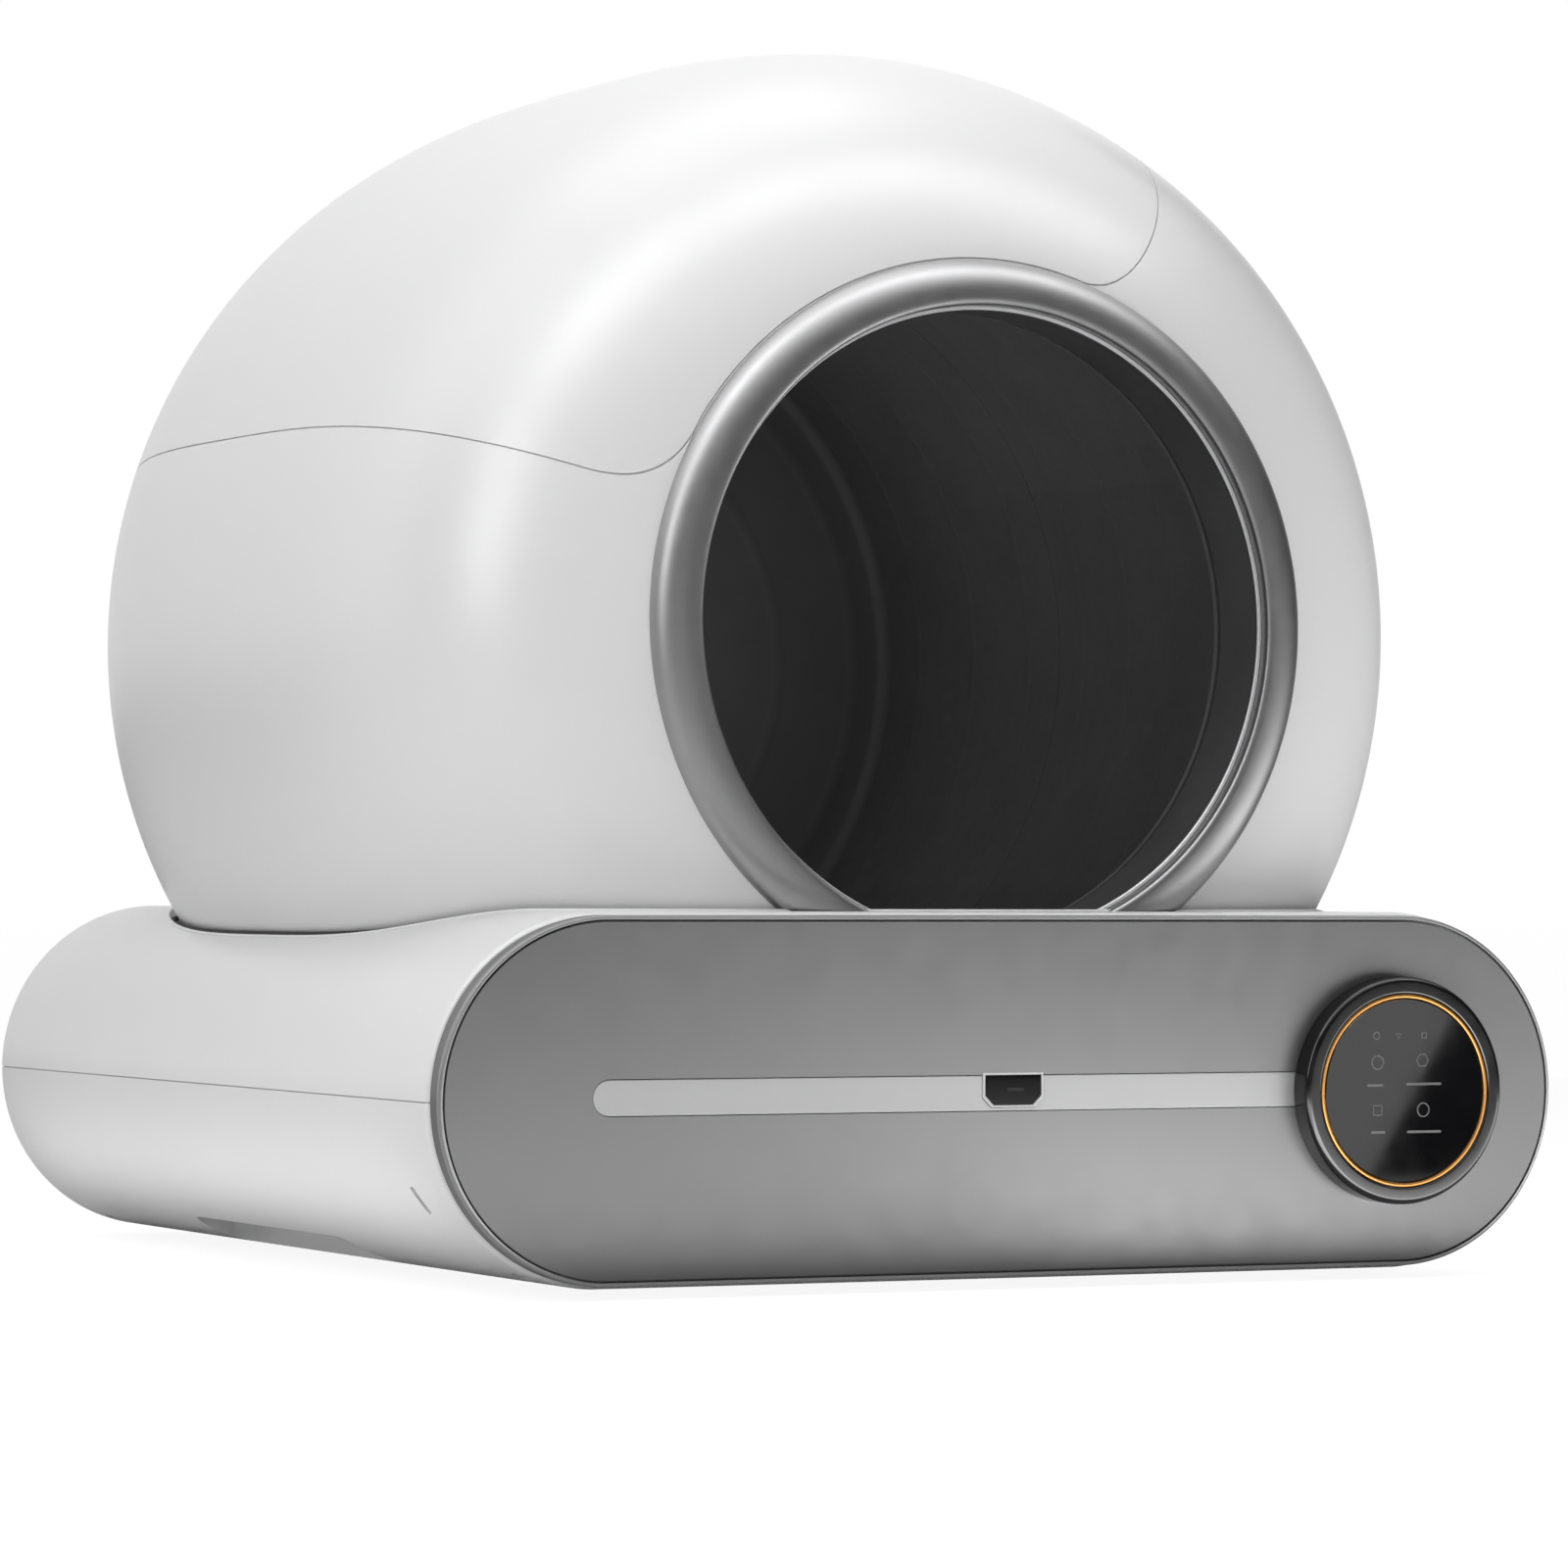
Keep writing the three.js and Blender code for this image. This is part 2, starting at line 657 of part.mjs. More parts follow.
function makeRingGear() {
  const towardsPinion = rad(pinionAngle) - Math.PI / 2;
  const firstTooth = towardsPinion + Math.PI / ringTeeth;
  const bore = rodY(drumRadius + fitGap, gearY0 - cutOver, gearY1 + cutOver, 0, axisZ, drumSegments);
  return cut(prismY(gearOutline(ringTeeth, firstTooth), gearY0, gearY1, 0, axisZ), bore);
}

function makeDrivePinion() {
  const towardsRing = rad(pinionAngle) + Math.PI / 2;
  const y0 = gearY0 - pinionOverlap;
  const gear = prismY(gearOutline(pinionTeeth, towardsRing), y0, gearY1 + pinionOverlap, pinionX, pinionZ);
  const shaft = rodY(shaftRadius, bracketY0 - shaftGrip, y0 + cutOver, pinionX, pinionZ);
  return join(gear, shaft);
}

function makeGearMotor() {
  const y1 = bracketY0 - fitGap;
  const y0 = y1 - gearboxLength;
  const gearbox = rodY(gearboxRadius, y0, y1, pinionX, pinionZ, roundSegments);
  const can = rodY(motorRadius, motorFrontY, y0 + cutOver, pinionX, pinionZ, roundSegments);
  const bore = rodY(shaftRadius + fitGap, y1 - shaftGrip - 2 * fitGap, y1 + cutOver, pinionX, pinionZ);
  return cut(join(gearbox, can), bore);
}

function makeMotorBracket() {
  const z0 = tubFloorZ + fitGap;
  const top = pinionZ + gearboxRadius;
  const x0 = pinionX - bracketHalfWidth;
  const x1 = pinionX + bracketHalfWidth;
  const plate = block(x0, x1, bracketY0, bracketY1, z0, top);
  const y0 = bracketY1 - fitGap;
  const y1 = bracketY1 + bracketFoot;
  const foot = block(x0, x1, y0, y1, z0, z0 + bracketThickness);
  const rib = block(x0, x0 + bracketThickness, y0, y1, z0, z0 + bracketFoot);
  const hole = rodY(shaftRadius * 2, bracketY0 - cutOver, bracketY1 + cutOver, pinionX, pinionZ);
  return cut(join(plate, foot, rib), hole, drumEnvelope());
}

function drumEnvelope() {
  return rodY(drumRadius + drumClearance, 0, overallDepth, 0, axisZ, drumSegments * 2);
}

// Rollers

function rollerPlaces() {
  return [
    ['front_left', -rollerX, rollerFrontY],
    ['front_right', rollerX, rollerFrontY],
    ['rear_left', -rollerX, rollerRearY],
    ['rear_right', rollerX, rollerRearY],
  ];
}

function makeRoller(x, y) {
  const half = rollerWidth / 2;
  const bore = rodY(axleRadius + fitGap, y - half - cutOver, y + half + cutOver, x, rollerZ);
  return cut(rodY(rollerRadius, y - half, y + half, x, rollerZ, roundSegments), bore);
}

function makeAxle(x, y) {
  const half = rollerWidth / 2 + cheekSideGap + cheekThickness;
  return rodY(axleRadius, y - half, y + half, x, rollerZ);
}

function rollerCheeks(x, y) {
  const near = rollerWidth / 2 + cheekSideGap;
  const far = near + cheekThickness;
  const top = rollerZ + cheekRise;
  const cheeks = [[-far, -near], [near, far]].map(([a, b]) => (
    block(x - cheekHalfWidth, x + cheekHalfWidth, y + a, y + b, deckBottomZ, top)
  ));
  const hole = rodY(axleRadius + fitGap, y - far - cutOver, y + far + cutOver, x, rollerZ);
  return cut(join(...cheeks), hole);
}

// Base

function shellBody() {
  return prismY(stadium(shellWidth, shellHeight), shellFrontY, shellBackY, 0, baseCentreZ, shellEdge);
}

function shellHollow() {
  const outline = stadium(shellWidth - 2 * shellWall, shellHeight - 2 * shellWall);
  return prismY(outline, shellFrontY + shellWall, backWallY, 0, baseCentreZ);
}

function screwPlaces() {
  const x = panelWidth / 2 - screwSideInset;
  const ys = [shellFrontY + screwEndInset, shellBackY - screwEndInset];
  return [
    ['front_left', -x, ys[0]],
    ['front_right', x, ys[0]],
    ['rear_left', -x, ys[1]],
    ['rear_right', x, ys[1]],
  ];
}

function footPlaces() {
  const x = panelWidth / 2 - footSideInset;
  const ys = [shellFrontY + footFrontInset, shellBackY - footRearInset];
  return [
    ['front_left', -x, ys[0]],
    ['front_right', x, ys[0]],
    ['rear_left', -x, ys[1]],
    ['rear_right', x, ys[1]],
  ];
}

function gripBox(side, grow) {
  const outer = shellWidth / 2 - gripSideInset + grow;
  const inner = outer - gripWidth - 2 * grow;
  const xs = side > 0 ? [inner, outer] : [-outer, -inner];
  const y0 = shellFrontY + gripEndInset - grow;
  const y1 = shellBackY - gripEndInset + grow;
  return block(xs[0], xs[1], y0, y1, 0, baseBottomZ + gripRise + grow);
}

function boardPosts() {
  const y1 = backWallY - mainBoardBackInset;
  const dx = mainBoardWidth / 2 - boardPostRadius;
  const posts = [];
  for (const x of [mainBoardX - dx, mainBoardX + dx]) {
    for (const y of [y1 - mainBoardDepth + boardPostRadius, y1 - boardPostRadius]) {
      posts.push(rodZ(boardPostRadius, baseBottomZ, tubFloorZ + boardPostHeight, x, y));
    }
  }
  return join(...posts);
}

function drawerMouth() {
  const half = binHalfWidth + drawerSideGap;
  const z0 = binBottomZ - fitGap;
  return block(-half, half, 0, shellFrontY + shellWall + cutOver, z0, deckBottomZ - fitGap);
}

function makeLowerTub() {
  const seamZ = baseCentreZ - seamGap / 2;
  const outside = shellBody();
  const columns = screwPlaces().map(([, x, y]) => rodZ(columnRadius, 0, seamZ, x, y));
  const sockets = footPlaces().map(([, x, y]) => (
    rodZ(footRadius + fitGap + footBossWall, 0, baseBottomZ + footSocketRise + shellWall, x, y, roundSegments)
  ));
  const grips = [gripBox(1, gripWall), gripBox(-1, gripWall)];
  const inner = join(...columns, ...sockets, ...grips).intersect(outside);
  let tub = join(cut(outside, shellHollow()), inner, boardPosts());
  tub = cut(tub, gripBox(1, 0), gripBox(-1, 0), drawerMouth());
  for (const [, x, y] of footPlaces()) {
    tub = cut(tub, rodZ(footRadius + fitGap, 0, baseBottomZ + footSocketRise, x, y, roundSegments));
  }
  for (const [, x, y] of screwPlaces()) {
    const seatZ = baseBottomZ + screwSeatRise;
    tub = cut(tub, rodZ(screwHeadRadius + screwHoleGap, 0, seatZ, x, y));
    tub = cut(tub, rodZ(screwShankRadius + screwHoleGap, 0, seamZ + cutOver, x, y));
  }
  const inletZ = baseBottomZ + inletRise;
  tub = cut(tub, rodY(inletCollarRadius + fitGap, backWallY - cutOver, shellBackY + cutOver, inletX, inletZ));
  const half = shellWidth / 2 + cutOver;
  return cut(tub, block(-half, half, 0, shellBackY + cutOver, seamZ, axisZ));
}

function saddleSkirt() {
  const half = shellWidth / 2;
  const keep = block(-half, half, shellFrontY, shellBackY, deckBottomZ, axisZ);
  return domeSolid(saddleGap + saddleWall).intersect(keep).intersect(shellBody());
}

function chuteBox(grow, z0, z1) {
  const half = portWidth / 2 + chuteMargin + grow;
  return block(-half, half, portY0 - chuteMargin - grow, portY1 + chuteMargin + grow, z0, z1);
}

function makeUpperDeck() {
  const half = shellWidth / 2 + cutOver;
  const seamZ = baseCentreZ + seamGap / 2;
  const outside = shellBody();
  const deckPlate = block(-half, half, shellFrontY, shellBackY, deckBottomZ, deckTopZ).intersect(outside);
  const bossTop = deckBottomZ + deckBossHeight;
  const bosses = screwPlaces().map(([, x, y]) => rodZ(columnRadius, deckBottomZ, bossTop, x, y));
  const cheeks = rollerPlaces().map(([, x, y]) => rollerCheeks(x, y));
  const above = block(-half, half, 0, overallDepth, deckTopZ, axisZ);
  let deck = join(cut(outside, shellHollow()), deckPlate, saddleSkirt());
  deck = cut(deck, domeSolid(saddleGap).intersect(above));
  deck = join(deck, ...bosses, ...cheeks);
  const below = block(-half, half, 0, shellBackY + cutOver, 0, seamZ);
  const motorHalf = gearboxRadius + 2 * fitGap;
  const motorSlot = block(
    pinionX - motorHalf, pinionX + motorHalf,
    motorFrontY - cutOver, bracketY1, 0, deckTopZ + cutOver,
  );
  const ringHalf = Math.sqrt((ringPitchRadius + gearModule * 2) ** 2 - (axisZ - deckTopZ) ** 2);
  const driveSlot = block(
    -ringHalf - cutOver, pinionX + bracketHalfWidth + cutOver,
    bracketY0 - cutOver, gearY1 + pinionOverlap + cutOver, 0, deckTopZ + cutOver,
  );
  deck = cut(deck, below, drawerMouth(), motorSlot, driveSlot, drumEnvelope());
  deck = cut(deck, chuteBox(0, deckBottomZ - cutOver, deckTopZ + cutOver));
  const holeTop = bossTop - shellWall;
  for (const [, x, y] of screwPlaces()) {
    deck = cut(deck, rodZ(screwShankRadius + screwHoleGap, 0, holeTop, x, y));
  }
  return deck;
}

function makeChuteSeal() {
  const z0 = deckTopZ + fitGap;
  const z1 = z0 + chuteSealHeight;
  const inner = chuteBox(0, z0 - cutOver, z1 + cutOver);
  return cut(chuteBox(chuteSealWidth, z0, z1), inner);
}

function makeBaseScrew(x, y) {
  const seatZ = baseBottomZ + screwSeatRise - fitGap;
  const topZ = deckBottomZ + deckBossHeight - shellWall - fitGap;
  const profile = [
    [0, seatZ - screwHeadHeight],
    [screwHeadRadius, seatZ - screwHeadHeight],
    [screwHeadRadius, seatZ],
    [screwShankRadius, seatZ],
    [screwShankRadius, topZ],
    [0, topZ],
  ];
  return turnedUpright(profile, x, y);
}

function makeFoot(x, y) {
  const topZ = baseBottomZ + footSocketRise - 2 * fitGap - sensorDiscHeight;
  return rodZ(footRadius, 0, topZ, x, y, roundSegments);
}

function makeWeightSensor(x, y) {
  const z1 = baseBottomZ + footSocketRise - fitGap;
  return rodZ(footRadius - fitGap, z1 - sensorDiscHeight, z1, x, y, roundSegments);
}

// Waste drawer

function makeDrawerBin() {
  const outside = roundedRectangle(-binHalfWidth, binHalfWidth, binFrontY, binBackY, binCorner);
  const half = binHalfWidth - binWall;
  const hollow = roundedRectangle(-half, half, binFrontY + binWall, binBackY - binWall, binCorner - binWall);
  const body = prismZ(outside, binBottomZ, binTopZ);
  return cut(body, prismZ(hollow, binBottomZ + binWall, binTopZ + cutOver));
}

function makeBagFrame() {
  const outside = roundedRectangle(-binHalfWidth, binHalfWidth, binFrontY, binBackY, binCorner);
  const half = binHalfWidth - bagFrameWidth;
  const corner = binCorner - bagFrameWidth;
  const hole = roundedRectangle(-half, half, binFrontY + bagFrameWidth, binBackY - bagFrameWidth, corner);
  const z1 = bagFrameZ + bagFrameHeight;
  return cut(prismZ(outside, bagFrameZ, z1), prismZ(hole, bagFrameZ - cutOver, z1 + cutOver));
}

function makeRunner(side) {
  const x = side * (binHalfWidth - runnerInset);
  const y0 = shellFrontY + shellWall + drawerSideGap;
  const y1 = binBackY;
  return block(x - runnerWidth / 2, x + runnerWidth / 2, y0, y1, tubFloorZ + fitGap, binBottomZ - fitGap);
}

function makeDrawerPlug() {
  const x = binHalfWidth - contactSideInset;
  const z0 = binBottomZ + contactRise;
  const y0 = binBackY + fitGap;
  return block(x - contactHalfWidth, x + contactHalfWidth, y0, y0 + contactDepth, z0, z0 + contactHeight);
}

function makeDrawerSocket() {
  const x = binHalfWidth - contactSideInset;
  const y0 = binBackY + contactDepth + 2 * fitGap;
  const top = binBottomZ + contactRise + contactHeight;
  return block(x - contactHalfWidth, x + contactHalfWidth, y0, y0 + socketDepth, tubFloorZ + fitGap, top);
}

function windowOutline(grow) {
  const half = windowWidth / 2 + grow;
  const top = stripHeight / 2 + grow;
  const bottom = stripHeight / 2 - windowHeight - grow;
  const chamfer = windowChamfer;
  return polygon([
    [-half, bottom + chamfer], [-half + chamfer, bottom], [half - chamfer, bottom],
    [half, bottom + chamfer], [half, top], [-half, top],
  ]);
}

function stripOutline(grow) {
  const r = stripHeight / 2 + grow;
  const right = dialX - dialRadius + stripUnderDial + grow;
  const outline = new THREE.Shape();
  outline.moveTo(right, -r);
  outline.lineTo(right, r);
  outline.absarc(stripLeft + stripHeight / 2, 0, r, Math.PI / 2, 3 * Math.PI / 2, false);
  outline.closePath();
  return outline;
}

function panelBosses() {
  const bosses = [];
  for (const x of [-binHalfWidth + panelBossInset, 0, binHalfWidth - panelBossInset]) {
    for (const z of [baseCentreZ - 2 * panelBossDrop, baseCentreZ - panelBossDrop]) {
      bosses.push(rodY(panelBossRadius, panelWall - fitGap, panelDepth, x, z));
    }
  }
  return join(...bosses);
}

function makeFrontPanel() {
  const plate = prismY(stadium(panelWidth, panelHeight), 0, panelDepth, 0, baseCentreZ, panelEdge);
  const rim = panelEdge + panelWall / 2;
  const hollow = prismY(
    stadium(panelWidth - 2 * rim, panelHeight - 2 * rim), panelWall, panelDepth + cutOver, 0, baseCentreZ,
  );
  const groove = prismY(stripOutline(0), -cutOver, stripGroove, 0, stripZ);
  return cut(join(cut(plate, hollow), panelBosses()), groove);
}

function makeLightStrip() {
  const strip = prismY(stripOutline(-fitGap), stripSink, stripGroove - fitGap, 0, stripZ);
  const tool = prismY(windowOutline(fitGap), -cutOver, stripGroove + cutOver, windowX, stripZ);
  return cut(strip, tool);
}

function makeSensorWindow() {
  return prismY(windowOutline(-fitGap), -windowProud, stripGroove - fitGap, windowX, stripZ);
}

function makeSensorBoard() {
  const half = windowWidth / 2 + sensorBoardMargin;
  const y0 = panelWall + fitGap;
  const z0 = stripZ - windowHeight / 2 - sensorBoardMargin;
  const z1 = stripZ + windowHeight / 2 + sensorBoardMargin;
  return block(windowX - half, windowX + half, y0, y0 + boardThickness, z0, z1);
}

function makeDialBezel() {
  const lipInner = dialRadius - dialLip;
  const back = -fitGap;
  const chamfer = dialEdge * dialChamferShare;
  const profile = [
    [0, back],
    [dialRadius, back],
    [dialRadius, dialEdge - dialProud],
    [dialRadius - chamfer, chamfer - dialProud],
    [dialRadius - dialEdge, -dialProud],
    [lipInner, -dialProud],
    [lipInner, dialRecess - dialProud],
    [0, dialRecess - dialProud],
  ];
  return turned(profile, dialX, dialZ, ringSegments);
}

function makeDialRing() {
  const outer = dialRadius - dialLip - fitGap;
  const inner = outer - dialRingWidth;
  const y0 = dialGlassSink / 2 - dialProud;
  const y1 = dialRecess - dialProud - fitGap;
  const profile = [[inner, y0], [outer, y0], [outer, y1], [inner, y1], [inner, y0]];
  return turned(profile, dialX, dialZ, ringSegments);
}

function makeDialGlass() {
  const radius = dialRadius - dialLip - 2 * fitGap - dialRingWidth;
  const y0 = dialGlassSink - dialProud;
  const y1 = dialRecess - dialProud - fitGap;
  return rodY(radius, y0, y1, dialX, dialZ, ringSegments);
}

function makeDisplayBoard() {
  const y0 = panelWall + fitGap;
  return rodY(displayBoardRadius, y0, y0 + boardThickness, dialX, dialZ, roundSegments);
}

// Electronics in the base

function makeControlBoard() {
  const z0 = tubFloorZ + boardPostHeight + fitGap;
  const top = z0 + boardThickness;
  const y1 = backWallY - mainBoardBackInset;
  const y0 = y1 - mainBoardDepth;
  const x0 = mainBoardX - mainBoardWidth / 2;
  const x1 = mainBoardX + mainBoardWidth / 2;
  const board = block(x0, x1, y0, y1, z0, top);
  const chipX = x0 + chipSize;
  const chipY = y0 + chipSize;
  const chip = block(chipX, chipX + chipSize, chipY, chipY + chipSize, z0, top + chipHeight);
  const plugX = x1 - chipSize / 2;
  const plugs = block(plugX - plugBlockWidth, plugX, y0, y0 + chipSize / 2, z0, top + plugBlockHeight);
  const coil = rodZ(chipSize / 2, z0, top + plugBlockHeight, x1 - chipSize, y1 - chipSize);
  return join(board, chip, plugs, coil);
}

function makeDcInlet() {
  const z = baseBottomZ + inletRise;
  const half = inletSize / 2;
  const y1 = backWallY - fitGap;
  const body = block(inletX - half, inletX + half, y1 - inletDepth, y1, z - half, z + half);
  const collar = rodY(inletCollarRadius, y1 - cutOver, shellBackY - fitGap, inletX, z);
  const hole = rodY(inletHoleRadius, y1 - inletDepth + shellWall, shellBackY + cutOver, inletX, z);
  return cut(join(body, collar), hole);
}

function makeCartridge() {
  const y1 = backWallY - cartridgeBackInset;
  const z0 = tubFloorZ + fitGap;
  return block(
    cartridgeX - cartridgeWidth / 2, cartridgeX + cartridgeWidth / 2,
    y1 - cartridgeDepth, y1, z0, z0 + cartridgeHeight,
  );
}

// Assembly

function add(name, solid, finish) {
  const mesh = solid.getMesh();
  const geometry = new THREE.BufferGeometry();
  geometry.setAttribute('position', new THREE.BufferAttribute(mesh.vertProperties, 3));
  geometry.setIndex(new THREE.BufferAttribute(mesh.triVerts, 1));
  geometry.computeVertexNormals();
  const piece = new THREE.Mesh(geometry, finishes[finish]);
  piece.name = name;
  machine.add(piece);
}

add('lower_tub', makeLowerTub(), 'white_shell');
add('upper_deck', makeUpperDeck(), 'white_shell');
add('dome_shell', makeDomeShell(), 'white_shell');
add('dome_cover', makeDomeCover(), 'white_shell');
add('entrance_ring', makeEntranceRing(), 'satin_ring');
add('entrance_tunnel', makeEntranceTunnel(), 'black_plastic');
add('drum_seal', makeDrumSeal(), 'rubber');
add('drum_front', makeDrumFront(), 'drum_plastic');
add('drum_rear', makeDrumRear(), 'drum_plastic');
add('sifting_grate', makeSiftingGrate(), 'drum_plastic');
add('ring_gear', makeRingGear(), 'grey_plastic');
add('drive_pinion', makeDrivePinion(), 'grey_plastic');
add('gear_motor', makeGearMotor(), 'steel');
add('motor_bracket', makeMotorBracket(), 'steel');
for (const [place, x, y] of rollerPlaces()) {
  add(`roller_${place}`, makeRoller(x, y), 'rubber');
  add(`roller_axle_${place}`, makeAxle(x, y), 'steel');
}
add('chute_seal', makeChuteSeal(), 'rubber');
add('control_board', makeControlBoard(), 'circuit_green');
add('dc_inlet', makeDcInlet(), 'black_plastic');
add('deodoriser_cartridge', makeCartridge(), 'grey_plastic');
add('drawer_socket', makeDrawerSocket(), 'black_plastic');
add('drawer_runner_left', makeRunner(-1), 'grey_plastic');
add('drawer_runner_right', makeRunner(1), 'grey_plastic');
add('drawer_plug', makeDrawerPlug(), 'black_plastic');
add('drawer_bin', makeDrawerBin(), 'grey_plastic');
add('bag_frame', makeBagFrame(), 'grey_plastic');
add('front_panel', makeFrontPanel(), 'grey_panel');
add('light_strip', makeLightStrip(), 'light_strip');
add('sensor_window', makeSensorWindow(), 'dark_glass');
add('sensor_board', makeSensorBoard(), 'circuit_green');
add('dial_bezel', makeDialBezel(), 'black_plastic');
add('dial_ring', makeDialRing(), 'gold_ring');
add('dial_glass', makeDialGlass(), 'dark_glass');
add('display_board', makeDisplayBoard(), 'circuit_green');
for (const [place, x, y] of footPlaces()) {
  add(`foot_${place}`, makeFoot(x, y), 'rubber');
  add(`weight_sensor_${place}`, makeWeightSensor(x, y), 'steel');
}
for (const [place, x, y] of screwPlaces()) {
  add(`base_screw_${place}`, makeBaseScrew(x, y), 'steel');
}

export default litterBox;
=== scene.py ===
"""Self cleaning litter box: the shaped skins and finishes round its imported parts.

Workpieces are drawn in millimetres with Y running back from the face of the front panel,
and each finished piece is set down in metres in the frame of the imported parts. A pair of
bounds is given low first.
"""
import json
import logging
import math
from collections.abc import Callable, Iterable, Sequence
from dataclasses import dataclass
from enum import Enum

import bmesh
import bpy
from mathutils import Matrix, Vector
from mathutils.geometry import interpolate_bezier

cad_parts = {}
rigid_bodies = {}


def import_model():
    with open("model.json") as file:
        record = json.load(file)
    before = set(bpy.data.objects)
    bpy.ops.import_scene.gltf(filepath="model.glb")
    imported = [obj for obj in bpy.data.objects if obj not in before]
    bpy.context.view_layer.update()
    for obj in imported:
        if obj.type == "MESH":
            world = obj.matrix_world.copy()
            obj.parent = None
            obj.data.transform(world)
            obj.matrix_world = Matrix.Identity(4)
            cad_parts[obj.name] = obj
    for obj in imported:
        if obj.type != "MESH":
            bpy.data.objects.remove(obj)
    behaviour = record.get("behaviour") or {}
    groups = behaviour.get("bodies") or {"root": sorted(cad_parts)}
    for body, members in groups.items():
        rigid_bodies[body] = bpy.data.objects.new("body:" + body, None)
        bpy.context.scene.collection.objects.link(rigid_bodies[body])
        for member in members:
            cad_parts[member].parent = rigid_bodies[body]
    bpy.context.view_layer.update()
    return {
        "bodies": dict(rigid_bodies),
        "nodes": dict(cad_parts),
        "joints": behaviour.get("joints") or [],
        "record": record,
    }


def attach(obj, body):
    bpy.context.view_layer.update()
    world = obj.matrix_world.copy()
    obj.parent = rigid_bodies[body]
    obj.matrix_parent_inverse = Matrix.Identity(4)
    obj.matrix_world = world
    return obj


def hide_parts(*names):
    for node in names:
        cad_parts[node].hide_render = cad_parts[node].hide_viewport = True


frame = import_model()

MM = 0.001
# Y of the panel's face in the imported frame, and a length past every piece, in millimetres
PANEL_FACE_Y = -277.648
REACH = 700.0
# Places closer than the first count as one, and points closer than the second are merged
NEAR = 1e-3
MERGED = 1e-4
CORNERS = ("front_left", "front_right", "rear_left", "rear_right")
log = logging.getLogger("litter_box")

Colour = tuple[float, float, float]
Point = tuple[float, float]
Socket = bpy.types.NodeSocket
Edge = bmesh.types.BMEdge


class Body(Enum):
    """Moving bodies of the machine that a piece can ride on."""

    HOUSING = "housing"
    DRUM = "drum"
    COVER = "top_cover"
    DRAWER = "drawer"


# Finishes


class Wiring:
    """The node tree of a material or a world while it is being wired."""

    def __init__(self, owner: bpy.types.Material | bpy.types.World) -> None:
        """Starts on the owner's own tree."""
        owner.use_nodes = True
        self.tree = owner.node_tree

    def add(self, kind: str, links: dict[str | int, Socket] | None = None, **values: object) -> bpy.types.Node:
        """Adds a node.

        Args:
            kind: Type of the node.
            links: What flows into its inputs.
            values: Properties of the node, or inputs with underscores for spaces.

        Returns:
            The new node.
        """
        node = self.tree.nodes.new(kind)
        for key, value in values.items():
            if hasattr(node, key):
                setattr(node, key, value)
            else:
                node.inputs[key.replace("_", " ")].default_value = value
        for key, source in (links or {}).items():
            self.tree.links.new(source, node.inputs[key])
        return node

    def noise(self, size: float, detail: float, stretch: Sequence[float] = (1, 1, 1)) -> Socket:
        """Makes noise of a real size.

        Args:
            size: Width of one blotch, in millimetres.
            detail: Octaves of finer noise.
            stretch: Times that the pattern repeats along each direction.

        Returns:
            The noise's value.
        """
        places = self.add("ShaderNodeTexCoord").outputs["Object"]
        scale = [s / (size * MM) for s in stretch]
        mapping = self.add("ShaderNodeMapping", {"Vector": places}, Scale=scale)
        return self.add("ShaderNodeTexNoise", {"Vector": mapping.outputs[0]}, Scale=1.0, Detail=detail).outputs["Fac"]

    def spread(self, value: Socket, ends: Point, seen: Point = (0.3, 0.7)) -> Socket:
        """Maps a value to a range.

        Args:
            value: The value.
            ends: Results at the low and the high end.
            seen: Values at the low and the high end.

        Returns:
            The mapped value.
        """
        return self.add("ShaderNodeMapRange", {"Value": value}, From_Min=seen[0], From_Max=seen[1],
                        To_Min=ends[0], To_Max=ends[1]).outputs["Result"]

    def tint(self, factor: Socket, first: Colour, second: Colour) -> Socket:
        """Blends two linear colours.

        Args:
            factor: Share of the second colour.
            first: One colour.
            second: The other colour.

        Returns:
            The blended colour.
        """
        node = self.add("ShaderNodeMix", {"Factor": factor}, data_type="RGBA")
        for socket, colour in zip([s for s in node.inputs if s.type == "RGBA"], (first, second)):
            socket.default_value = (*colour, 1)
        return next(s for s in node.outputs if s.type == "RGBA")

    def finish(self, share: Socket, first: bpy.types.Node, second: bpy.types.Node, end: str) -> None:
        """Mixes two shaders and sends them to the output.

        Args:
            share: Share of the second shader.
            first: One shader.
            second: The other shader.
            end: Name of the output node.
        """
        mixed = self.add("ShaderNodeMixShader", {"Fac": share, 1: first.outputs[0], 2: second.outputs[0]})
        self.tree.links.new(mixed.outputs[0], self.tree.nodes[end].inputs["Surface"])


@dataclass(frozen=True)
class Finish:
    """What the surface of a piece is made of."""

    name: str
    slot: str
    colour: Colour

    def material(self) -> bpy.types.Material:
        """Makes the material, or finds it if it is made already.

        Returns:
            The material.
        """
        made = bpy.data.materials.get(self.name)
        if not made:
            made = bpy.data.materials.new(self.name)
            wiring = Wiring(made)
            self.wire(wiring, wiring.tree.nodes["Principled BSDF"].inputs)
        return made

    def wire(self, wiring: Wiring, surface: bpy.types.bpy_prop_collection) -> None:
        """Wires the surface shader's inputs, which each kind of finish does in its own way."""
        raise NotImplementedError

    def raise_surface(self, wiring: Wiring, height: Socket, depth: float) -> Socket:
        """Raises the surface by a height pattern, to a depth in millimetres."""
        return wiring.add("ShaderNodeBump", {"Height": height}, Strength=1.0, Distance=depth * MM).outputs["Normal"]


